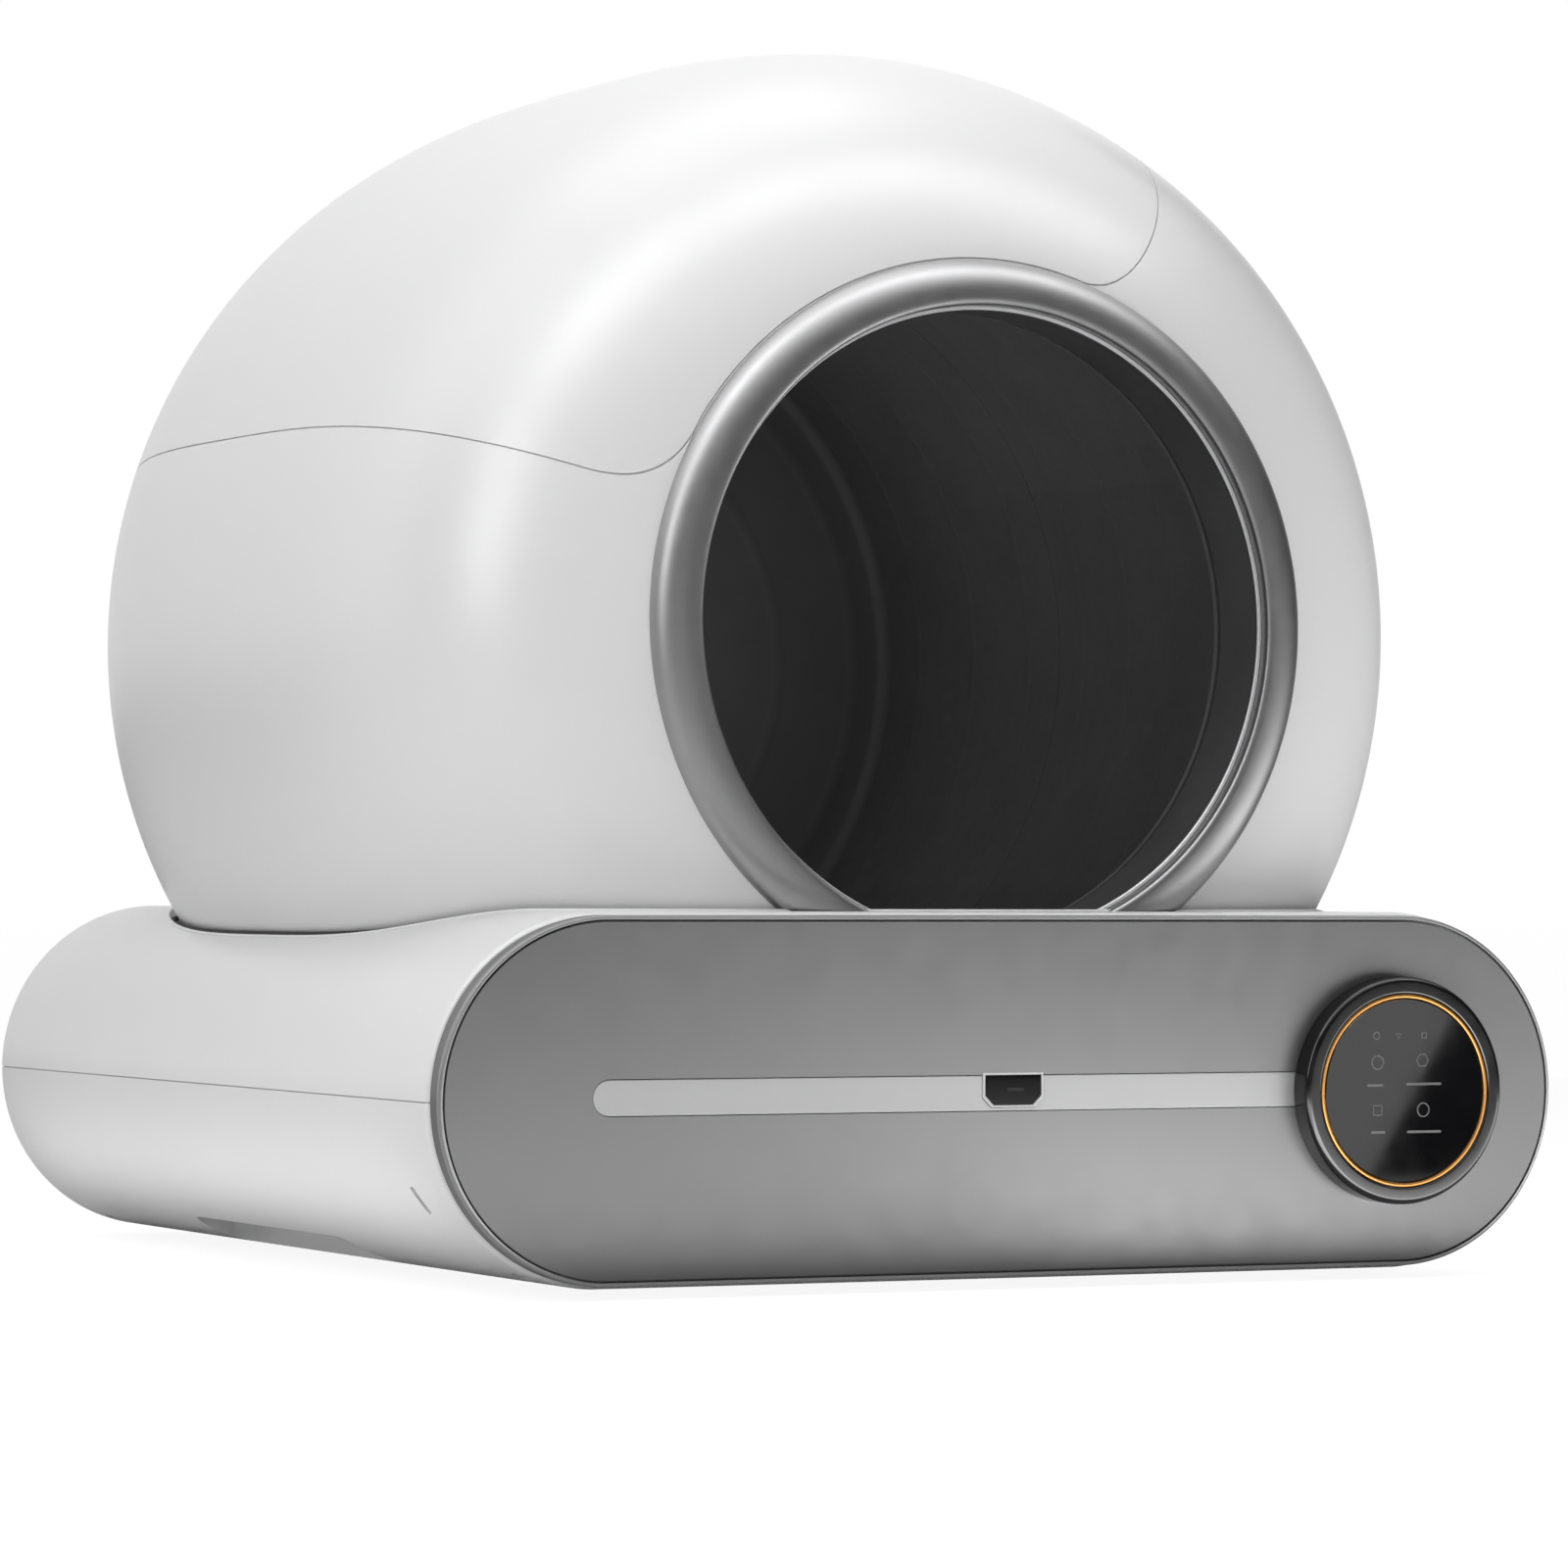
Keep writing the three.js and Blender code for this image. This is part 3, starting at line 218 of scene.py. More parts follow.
@dataclass(frozen=True)
class Moulded(Finish):
    """A moulded, painted or plated surface with grain, clouding and uneven gloss."""

    roughness: float
    grain: float
    depth: float = 0.002
    gloss_swing: float = 0.04
    cloud: float = 0.03
    cloud_size: float = 60.0
    cloud_detail: float = 4.0
    gloss_share: float = 5.0
    gloss_detail: float = 5.0
    grain_detail: float = 2.0
    metallic: float = 0.0
    specular: float = 0.5
    stretch: tuple[float, float, float] = (1.0, 1.0, 1.0)

    def wire(self, wiring: Wiring, surface: bpy.types.bpy_prop_collection) -> None:
        """Wires clouds of colour, uneven gloss and fine grain.

        Args:
            wiring: The material's tree.
            surface: Inputs of its surface shader.
        """
        dark = tuple(c * (1 - self.cloud) for c in self.colour)
        light = tuple(min(c * (1 + self.cloud), 1.0) for c in self.colour)
        surface["Metallic"].default_value = self.metallic
        surface["Specular IOR Level"].default_value = self.specular
        clouds = wiring.spread(wiring.noise(self.cloud_size, self.cloud_detail), (0, 1))
        gloss = wiring.spread(wiring.noise(self.cloud_size / self.gloss_share, self.gloss_detail),
                              (self.roughness - self.gloss_swing, self.roughness + self.gloss_swing))
        grain = wiring.noise(self.grain, self.grain_detail, self.stretch)
        for name, source in (("Base Color", wiring.tint(clouds, dark, light)), ("Roughness", gloss),
                             ("Normal", self.raise_surface(wiring, grain, self.depth))):
            wiring.tree.links.new(source, surface[name])


@dataclass(frozen=True)
class Circuit(Finish):
    """Green solder resist with fine tracks and pads."""

    track: Colour = (0.04, 0.22, 0.1)
    track_ends: Point = (0.02, 0.08)
    track_depth: float = 0.05
    cells: float = 260.0
    roughness: float = 0.35

    def wire(self, wiring: Wiring, surface: bpy.types.bpy_prop_collection) -> None:
        """Wires raised tracks between plain cells.

        Args:
            wiring: The material's tree.
            surface: Inputs of its surface shader.
        """
        surface["Roughness"].default_value = self.roughness
        places = wiring.add("ShaderNodeTexCoord").outputs["Object"]
        cells = wiring.add("ShaderNodeTexVoronoi", {"Vector": places}, distance="CHEBYCHEV",
                           feature="DISTANCE_TO_EDGE", Scale=self.cells)
        tracks = wiring.spread(cells.outputs["Distance"], (1.0, 0.0), self.track_ends)
        wiring.tree.links.new(wiring.tint(tracks, self.colour, self.track), surface["Base Color"])
        wiring.tree.links.new(self.raise_surface(wiring, tracks, self.track_depth), surface["Normal"])


WHITE_SHELL = Moulded("white_shell_satin", "white_shell", (0.79, 0.79, 0.794), 0.32, grain=0.5,
                      gloss_swing=0.02, cloud=0.006, cloud_size=90, specular=1.0)
SATIN_SILVER = Moulded("satin_silver_plate", "satin_ring", (0.4, 0.4, 0.405), 0.43, grain=0.9,
                       gloss_swing=0.02, cloud=0.02, cloud_size=30, metallic=1.0)
# A brighter copy of the satin finish for the ring's lip bead: a painted highlight along the lip
RING_LIP_HIGHLIGHT = Moulded("ring_lip_painted_highlight", "satin_ring", (0.86, 0.86, 0.865), 0.45, grain=0.9,
                        gloss_swing=0.02, cloud=0.02, cloud_size=30, metallic=0.5)
PANEL_GREY = Moulded("panel_grey_paint", "grey_panel", (0.125, 0.125, 0.127), 0.35, grain=0.35,
                     gloss_swing=0.02, cloud=0.012, cloud_size=70, metallic=0.5)
# A lighter copy of the panel grey for the hoop round the panel's edge: a painted highlight along the edge
PANEL_RIM_HIGHLIGHT = Moulded("panel_rim_painted_highlight", "grey_panel", (0.27, 0.27, 0.273), 0.35, grain=0.35,
                    gloss_swing=0.02, cloud=0.012, cloud_size=70, metallic=0.4)
STRIP_GREY = Moulded("strip_frosted", "light_strip", (0.33, 0.33, 0.334), 0.4, grain=0.3, depth=0.003, cloud=0.02,
                     specular=1.0)
# Near-white for the trim round the sensor window: a painted highlight along the window's edge
WINDOW_EDGE_HIGHLIGHT = Moulded("window_trim_painted_highlight", "light_strip", (0.88, 0.88, 0.88), 0.35, grain=0.3)
TUNNEL_BLACK = Moulded("tunnel_black", "black_plastic", (0.05, 0.05, 0.052), 0.42, grain=0.8, depth=0.02, cloud=0.12)
DIAL_BLACK = Moulded("dial_black_gloss", "black_plastic", (0.008, 0.008, 0.009), 0.16, grain=0.5, depth=0.001,
                     gloss_swing=0.03, cloud=0.05)
DRUM_BLACK = Moulded("drum_black_grain", "drum_plastic", (0.075, 0.075, 0.077), 0.55, grain=1.1, depth=0.05,
                     gloss_swing=0.05, cloud=0.06, cloud_size=40)
GOLD = Moulded("dial_copper_gold", "gold_ring", (0.34, 0.155, 0.03), 0.3, grain=0.3, cloud=0.08,
               cloud_size=12, metallic=0.55)
DARK_GLASS = Moulded("dial_dark_glass", "dark_glass", (0.006, 0.006, 0.007), 0.05, grain=3.0, depth=0.0005,
                     gloss_swing=0.015, cloud=0.2, specular=1.0)
PRINT_GREY = Moulded("dial_print", "grey_plastic", (0.05, 0.05, 0.052), 0.4, grain=0.2, depth=0.001, cloud=0.1)
DRAWER_GREY = Moulded("drawer_grey_plastic", "grey_plastic", (0.16, 0.165, 0.175), 0.5, grain=0.9, depth=0.02,
                      gloss_swing=0.06, cloud=0.06)
RUBBER = Moulded("foot_rubber", "rubber", (0.022, 0.022, 0.022), 0.8, grain=0.9, depth=0.05, cloud=0.2)
STEEL = Moulded("zinc_steel", "steel", (0.5, 0.51, 0.52), 0.34, grain=0.8, depth=0.006, gloss_swing=0.1,
                cloud=0.12, cloud_size=9, metallic=1.0, stretch=(1, 0.15, 1))
RESIST = Circuit("circuit_resist", "circuit_green", (0.015, 0.12, 0.05))


# Workpieces


class Blank:
    """A closed workpiece in millimetres, shaped by mesh operators."""

    def __init__(self, mesh: bmesh.types.BMesh) -> None:
        """Takes over a closed mesh."""
        self.mesh = mesh

    @classmethod
    def turned(cls, profile: Sequence[Point], x: float, z: float, steps: int) -> "Blank":
        """Turns a profile about the Y direction.

        Args:
            profile: Radius and Y; it closes on itself or starts and ends on the axis.
            x: Place of the axis.
            z: Height of the axis.
            steps: Facets round the axis.

        Returns:
            The turned workpiece.
        """
        mesh = bmesh.new()
        closed = profile[0] == profile[-1]
        points = [mesh.verts.new((r, y, 0)) for r, y in (profile[:-1] if closed else profile)]
        pairs = list(zip(points, points[1:])) + ([(points[-1], points[0])] if closed else [])
        edges = [mesh.edges.new(pair) for pair in pairs]
        bmesh.ops.spin(mesh, geom=points + edges, cent=(0, 0, 0), axis=(0, 1, 0), dvec=(0, 0, 0),
                       angle=math.tau, steps=steps, use_merge=True, use_duplicate=False)
        bmesh.ops.remove_doubles(mesh, verts=mesh.verts, dist=MERGED)
        bmesh.ops.recalc_face_normals(mesh, faces=mesh.faces)
        bmesh.ops.translate(mesh, verts=mesh.verts, vec=(x, 0, z))
        return cls(mesh)

    @classmethod
    def pushed(cls, mesh: bmesh.types.BMesh, along: Sequence[float]) -> "Blank":
        """Extrudes the one face of a mesh and closes the solid.

        Args:
            mesh: The mesh, which is taken over.
            along: Direction and distance.

        Returns:
            The workpiece.
        """
        made = bmesh.ops.extrude_face_region(mesh, geom=mesh.faces[:], use_keep_orig=True)
        moved = [part for part in made["geom"] if isinstance(part, bmesh.types.BMVert)]
        bmesh.ops.translate(mesh, verts=moved, vec=along)
        bmesh.ops.recalc_face_normals(mesh, faces=mesh.faces)
        return cls(mesh)

    @classmethod
    def prism(cls, outline: Sequence[Point], ys: Point, x: float = 0.0, z: float = 0.0) -> "Blank":
        """Pushes an outline drawn in X and Z back.

        Args:
            outline: Corners of the outline.
            ys: Front and back.
            x: Shift of the outline.
            z: Rise of the outline.

        Returns:
            The workpiece.
        """
        mesh = bmesh.new()
        mesh.faces.new([mesh.verts.new((u + x, ys[0], v + z)) for u, v in outline])
        return cls.pushed(mesh, (0, ys[1] - ys[0], 0))

    @classmethod
    def upright(cls, outline: Sequence[Point], zs: Point) -> "Blank":
        """Pushes an outline drawn in X and Y up.

        Args:
            outline: Corners of the outline.
            zs: Bottom and top.

        Returns:
            The workpiece.
        """
        mesh = bmesh.new()
        mesh.faces.new([mesh.verts.new((u, v, zs[0])) for u, v in outline])
        return cls.pushed(mesh, (0, 0, zs[1] - zs[0]))

    @classmethod
    def stadium(cls, width: float, height: float, ys: Point, z: float, steps: int = 144) -> "Blank":
        """Makes a bar with fully rounded sides.

        Args:
            width: Overall width.
            height: Overall height.
            ys: Front and back.
            z: Height of its middle.
            steps: Facets of the two round sides together.

        Returns:
            The workpiece.
        """
        mesh = bmesh.new()
        place = Matrix.Translation((0, ys[0], z)) @ Matrix.Rotation(math.pi / 2, 4, "X")
        bmesh.ops.create_circle(mesh, cap_ends=True, segments=steps, radius=height / 2, matrix=place)
        for side in (1, -1):
            half = [v for v in mesh.verts if v.co.x * side > NEAR]
            bmesh.ops.translate(mesh, verts=half, vec=(side * (width - height) / 2, 0, 0))
        return cls.pushed(mesh, (0, ys[1] - ys[0], 0))

    @classmethod
    def box(cls, xs: Point, ys: Point, zs: Point, turn: Matrix | None = None) -> "Blank":
        """Makes a box.

        Args:
            xs: Left and right.
            ys: Front and back.
            zs: Bottom and top.
            turn: Motion given to the finished box.

        Returns:
            The workpiece.
        """
        mesh = bmesh.new()
        middle = Matrix.Translation([(a + b) / 2 for a, b in (xs, ys, zs)])
        size = Matrix.Diagonal([b - a for a, b in (xs, ys, zs)] + [1.0])
        bmesh.ops.create_cube(mesh, size=1, matrix=(turn or Matrix()) @ middle @ size)
        return cls(mesh)

    @classmethod
    def slab(cls, zs: Point) -> "Blank":
        """Makes a slab wider and deeper than the whole machine, between two heights."""
        return cls.box((-REACH, REACH), (-REACH, REACH), zs)

    @classmethod
    def rod(cls, radius: float, start: Sequence[float], end: Sequence[float], steps: int = 32) -> "Blank":
        """Makes a round rod between two points.

        Args:
            radius: Radius of the rod.
            start: Middle of one end.
            end: Middle of the other end.
            steps: Facets round the rod.

        Returns:
            The workpiece.
        """
        mesh = bmesh.new()
        a, b = Vector(start), Vector(end)
        place = Matrix.Translation((a + b) / 2) @ (b - a).to_track_quat("Z", "Y").to_matrix().to_4x4()
        bmesh.ops.create_cone(mesh, cap_ends=True, segments=steps, radius1=radius, radius2=radius,
                              depth=(b - a).length, matrix=place)
        return cls(mesh)

    @classmethod
    def rods(cls, radius: float, places: Iterable[Point], zs: Point, steps: int = 32) -> list["Blank"]:
        """Makes upright rods.

        Args:
            radius: Radius of each rod.
            places: X and Y of each rod.
            zs: Bottom and top.
            steps: Facets round each rod.

        Returns:
            The rods.
        """
        return [cls.rod(radius, (x, y, zs[0]), (x, y, zs[1]), steps) for x, y in places]

    @classmethod
    def gathered(cls, blanks: Iterable["Blank"]) -> "Blank":
        """Lays several separate workpieces together as one.

        Args:
            blanks: The workpieces, which are used up.

        Returns:
            One workpiece.
        """
        whole = bmesh.new()
        for blank in blanks:
            spare = bpy.data.meshes.new("spare")
            blank.mesh.to_mesh(spare)
            whole.from_mesh(spare)
            bpy.data.meshes.remove(spare)
            blank.mesh.free()
        return cls(whole)

    @classmethod
    def hoop(cls, path: Sequence[Vector], radius: float, steps: int = 10) -> "Blank":
        """Sweeps a round section along a closed path.

        Args:
            path: Points of the path.
            radius: Radius of the section.
            steps: Facets round the section.

        Returns:
            The swept hoop.
        """
        mesh = bmesh.new()
        rings = []
        for i, point in enumerate(path):
            along = path[(i + 1) % len(path)] - path[i - 1]
            place = Matrix.Translation(point) @ along.to_track_quat("Z", "Y").to_matrix().to_4x4()
            rings.append(bmesh.ops.create_circle(mesh, segments=steps, radius=radius, matrix=place)["verts"])
        for first, second in zip(rings, rings[1:] + rings[:1]):
            for i in range(steps):
                j = (i + 1) % steps
                mesh.faces.new((first[i], first[j], second[j], second[i]))
        bmesh.ops.recalc_face_normals(mesh, faces=mesh.faces)
        return cls(mesh)

    def _combined(self, operation: str, others: Iterable["Blank"]) -> "Blank":
        """Joins, cuts or crosses this workpiece with others.

        Args:
            operation: UNION, DIFFERENCE or INTERSECT.
            others: The other workpieces, which are used up.

        Returns:
            This workpiece, changed.
        """
        for other in others:
            holders = []
            for blank in (self, other):
                data = bpy.data.meshes.new("spare")
                blank.mesh.to_mesh(data)
                blank.mesh.free()
                holders.append(bpy.data.objects.new("spare", data))
                bpy.context.scene.collection.objects.link(holders[-1])
            modifier = holders[0].modifiers.new("combine", "BOOLEAN")
            modifier.operation, modifier.object, modifier.solver = operation, holders[1], "MANIFOLD"
            graph = bpy.context.evaluated_depsgraph_get()
            graph.update()
            made = bpy.data.meshes.new_from_object(holders[0].evaluated_get(graph))
            self.mesh = bmesh.new()
            self.mesh.from_mesh(made)
            if not self.mesh.faces:
                raise ValueError(f"{operation} left nothing")
            for data in [made, *(holder.data for holder in holders)]:
                bpy.data.meshes.remove(data)
        return self

    def join(self, *others: "Blank") -> "Blank":
        """Joins other workpieces on."""
        return self._combined("UNION", others)

    def cut(self, *others: "Blank") -> "Blank":
        """Cuts other workpieces out."""
        return self._combined("DIFFERENCE", others)

    def meet(self, *others: "Blank") -> "Blank":
        """Keeps what lies inside the other workpieces too."""
        return self._combined("INTERSECT", others)

    def eased(self, width: float, segments: int, chosen: Callable[[Edge], bool]) -> "Blank":
        """Rounds edges.

        Args:
            width: Width of the rounding.
            segments: Facets across it.
            chosen: Tells which edges are rounded.

        Returns:
            This workpiece, changed.
        """
        edges = [e for e in self.mesh.edges if chosen(e)]
        bmesh.ops.bevel(self.mesh, geom=edges, offset=width, offset_type="OFFSET", segments=segments,
                        profile=0.5, affect="EDGES", clamp_overlap=True, material=-1)
        return self

    def piece(self, name: str, body: Body, finish: Finish, *nodes: str, crease: float = 32.0,
              even: bool = True) -> bpy.types.Object:
        """Finishes the workpiece as a piece of the machine.

        Args:
            name: Name of the piece.
            body: Body that it rides on.
            finish: Its finish.
            nodes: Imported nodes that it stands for.
            crease: Edges sharper than this, in degrees, stay crisp.
            even: Whether flat faces keep even shading next to rounded edges.

        Returns:
            The piece.
        """
        place = Matrix.Scale(MM, 4) @ Matrix.Translation((0, PANEL_FACE_Y, 0))
        bmesh.ops.transform(self.mesh, matrix=place, verts=self.mesh.verts)
        data = bpy.data.meshes.new(name)
        self.mesh.to_mesh(data)
        self.mesh.free()
        for face in data.polygons:
            face.use_smooth = True
        data.set_sharp_from_angle(angle=math.radians(crease))
        data.materials.append(finish.material())
        made = bpy.data.objects.new(name, data)
        bpy.context.scene.collection.objects.link(made)
        if even:
            made.modifiers.new("even_shading", "WEIGHTED_NORMAL").keep_sharp = True
        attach(made, body.value)
        if nodes:
            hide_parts(*nodes)
        log.info("%s: %d faces on %s", name, len(data.polygons), body.value)
        return made


def at_y(*values: float) -> Callable[[Edge], bool]:
    """Chooses edges that lie at one of the given Y values."""
    return lambda e: any(all(abs(v.co.y - y) < NEAR for v in e.verts) for y in values)


def at_z(*values: float) -> Callable[[Edge], bool]:
    """Chooses edges that lie at one of the given heights."""
    return lambda e: any(all(abs(v.co.z - z) < NEAR for v in e.verts) for z in values)


def arc(centre: Point, radius: float, start: float, end: float, steps: int) -> list[Point]:
    """Points on an arc.

    Args:
        centre: Middle of the arc.
        radius: Its radius.
        start: First angle, in degrees from the first direction towards the second.
        end: Last angle.
        steps: Number of chords.

    Returns:
        The points, both ends included.
    """
    turns = [math.radians(start + (end - start) * i / steps) for i in range(steps + 1)]
    return [(centre[0] + radius * math.cos(t), centre[1] + radius * math.sin(t)) for t in turns]


def bezier(start: Point, first: Point, second: Point, end: Point, steps: int) -> list[Point]:
    """Points on a curve with two handles, both ends included."""
    points = interpolate_bezier(*[Vector((*p, 0)) for p in (start, first, second, end)], steps + 1)
    return [(p.x, p.y) for p in points]


def rounded_rectangle(xs: Point, ys: Point, radius: float, steps: int = 8) -> list[Point]:
    """Outline of a rectangle with round corners.

    Args:
        xs: Left and right.
        ys: Front and back.
        radius: Radius of the corners.
        steps: Chords in each corner.

    Returns:
        The outline.
    """
    middles = [(xs[1] - radius, ys[0] + radius), (xs[1] - radius, ys[1] - radius),
               (xs[0] + radius, ys[1] - radius), (xs[0] + radius, ys[0] + radius)]
    corners = [arc(m, radius, -90 + 90 * i, 90 * i, steps) for i, m in enumerate(middles)]
    return [p for corner in corners for p in corner]


# Shared sizes


@dataclass(frozen=True)
class Plan:
    """Sizes that several sub-assemblies share, in millimetres."""

    gap: float = 0.3
    panel_width: float = 530.0
    panel_height: float = 152.4
    panel_depth: float = 9.0
    shell_width: float = 533.0
    shell_height: float = 155.4
    shell_front: float = 10.0
    shell_back: float = 546.0
    wall: float = 3.0
    centre_z: float = 81.7
    deck_top: float = 88.0
    deck_bottom: float = 84.0
    axis_z: float = 282.6
    drum_radius: float = 190.0
    drum_front: float = 69.75
    drum_back: float = 499.8
    ring_inner: float = 134.0
    ring_outer: float = 156.0
    bin_half: float = 195.0
    bin_bottom: float = 14.0


@dataclass
class Dome:
    """The white dome and its lift-off top cover."""

    plan: Plan
    radius: float = 264.8
    front_pole: float = 23.6
    depth: float = 542.7
    front_share: float = 0.5093
    front_power: float = 3.6
    rear_power: float = 2.94
    wall: float = 3.0
    opening: float = 150.0
    seam: float = 0.7
    lip: float = 1.1
    lip_play: float = 0.15
    ledge: float = 7.0
    ledge_root: float = 1.5
    ledge_sink: float = 0.2
    rebate_play: float = 0.4
    left_angle: float = -71.0
    right_angle: float = 29.4
    left_turn: float = 190.0
    right_turn: float = 236.0
    left_meet: float = -57.5
    right_meet: float = 17.0
    tool_reach: float = 4.0
    tool_crown: float = 1.4
    steps: int = 240
    curve_steps: int = 44
    corner_steps: int = 18
    rim_steps: int = 60
    crown_steps: int = 8

    @property
    def front_reach(self) -> float:
        """Depth from the widest section to the front pole."""
        return self.depth * self.front_share

    @property
    def centre_y(self) -> float:
        """Y of the widest section."""
        return self.front_pole + self.front_reach

    def face_y(self, radius: float, inset: float = 0.0) -> float:
        """Y of the front face at a radius, seen along the axis."""
        share = (radius / (self.radius - inset)) ** self.front_power
        return self.centre_y - (self.front_reach - inset) * (1 - share) ** (1 / self.front_power)

    def section(self, y: float, outset: float) -> float:
        """Finds the dome's radius at a depth.

        Args:
            y: The depth.
            outset: How far the dome is grown.

        Returns:
            The radius, which is zero past the poles.
        """
        ahead = y < self.centre_y
        reach = self.front_reach if ahead else self.depth - self.front_reach
        power = self.front_power if ahead else self.rear_power
        share = min(abs(y - self.centre_y) / (reach + outset), 1.0)
        return (self.radius + outset) * (1 - share ** power) ** (1 / power)

    def curve(self, inset: float, opening: float) -> list[Point]:
        """Section from an opening at the front to the pole at the back.

        Args:
            inset: Distance inside the outer face.
            opening: Radius at which the section starts.

        Returns:
            Radius and Y of each point.
        """
        wide, rear = self.radius - inset, self.depth - self.front_reach - inset
        first = math.acos((opening / wide) ** (self.front_power / 2))

        def half(turns: Iterable[float], reach: float, power: float) -> list[Point]:
            """Points of the front or the rear half, whose reach is signed."""
            return [(wide * math.cos(turn) ** (2 / power), self.centre_y + reach * math.sin(turn) ** (2 / power))
                    for turn in turns]

        shares = [i / self.curve_steps for i in range(self.curve_steps)]
        return [*half([first * (1 - share) for share in shares], inset - self.front_reach, self.front_power),
                *half([math.pi / 2 * share for share in shares], rear, self.rear_power),
                (0.0, self.centre_y + rear)]

    def skin(self, outer: float = 0.0, inner: float | None = None) -> Blank:
        """Makes the dome's wall.

        Args:
            outer: Inset of its outer face.
            inner: Inset of its inner face, or nothing for the full wall.

        Returns:
            The wall.
        """
        outside = self.curve(outer, self.opening)
        inside = self.curve(self.wall if inner is None else inner, self.opening)[::-1]
        return Blank.turned([*outside, *inside, outside[0]], 0, self.plan.axis_z, self.steps)

    def solid(self, outset: float) -> Blank:
        """Makes the dome's full shape, grown by a distance."""
        return Blank.turned(self.curve(-outset, 0.0), 0, self.plan.axis_z, self.steps)

    def cover_tool(self, grow: float) -> Blank:
        """Makes a long bar with the front view of the top cover.

        Args:
            grow: How far the outline stands out past the seam's middle.

        Returns:
            The bar.
        """
        far = self.radius + self.tool_reach
        rim = self.plan.ring_outer + 2 * self.plan.gap - grow

        def polar(radius: float, degrees: float) -> Point:
            """Point at a radius and an angle from straight up."""
            return radius * math.sin(math.radians(degrees)), radius * math.cos(math.radians(degrees))

        def edge(radius: float, degrees: float, side: int) -> Point:
            """Point on a straight edge, moved out by the growth."""
            return polar(radius, degrees + side * math.degrees(grow / radius))

        def swept(radius: float, start: float, end: float, steps: int) -> list[Point]:
            """Points between two angles at one radius, both ends left out."""
            return [polar(radius, start + (end - start) * i / steps) for i in range(1, steps)]

        def rounded(start: Point, corner: Point, end: Point) -> list[Point]:
            """A corner rounded by a simple curve."""
            first, second = [tuple(p + (q - p) * 2 / 3 for p, q in zip(tip, corner)) for tip in (start, end)]
            return bezier(start, first, second, end, self.corner_steps)

        outline = [edge(far, self.left_angle, -1),
                   *rounded(edge(self.left_turn, self.left_angle, -1), edge(rim, self.left_angle, -1),
                            polar(rim, self.left_meet)),
                   *swept(rim, self.left_meet, self.right_meet, self.rim_steps),
                   *rounded(polar(rim, self.right_meet), edge(rim, self.right_angle, 1),
                            edge(self.right_turn, self.right_angle, 1)),
                   edge(far, self.right_angle, 1),
                   *swept(far * self.tool_crown, self.right_angle, self.left_angle, self.crown_steps)]
        return Blank.prism(outline, (-REACH, REACH), 0, self.plan.axis_z)

    def build(self) -> None:
        """Makes the shell with its sunk ledge, and the top cover whose thin edge lies on it."""
        ledge = self.skin(self.lip + self.lip_play, self.wall - self.ledge_sink)
        ledge.meet(self.cover_tool(self.seam / 2 + self.ledge_root)).cut(self.cover_tool(-self.ledge))
        below = Blank.slab((-REACH, self.plan.deck_top + self.plan.gap))
        shell = self.skin().cut(self.cover_tool(self.seam / 2), below).join(ledge)
        shell.piece("dome_shell_skin", Body.HOUSING, WHITE_SHELL, "dome_shell", even=False)
        rebate = self.skin(self.lip, self.wall + self.rebate_play)
        rebate.cut(self.cover_tool(-self.ledge - self.rebate_play))
        cover = self.skin().meet(self.cover_tool(-self.seam / 2)).cut(rebate)
        cover.piece("dome_cover_skin", Body.COVER, WHITE_SHELL, "dome_cover", even=False)


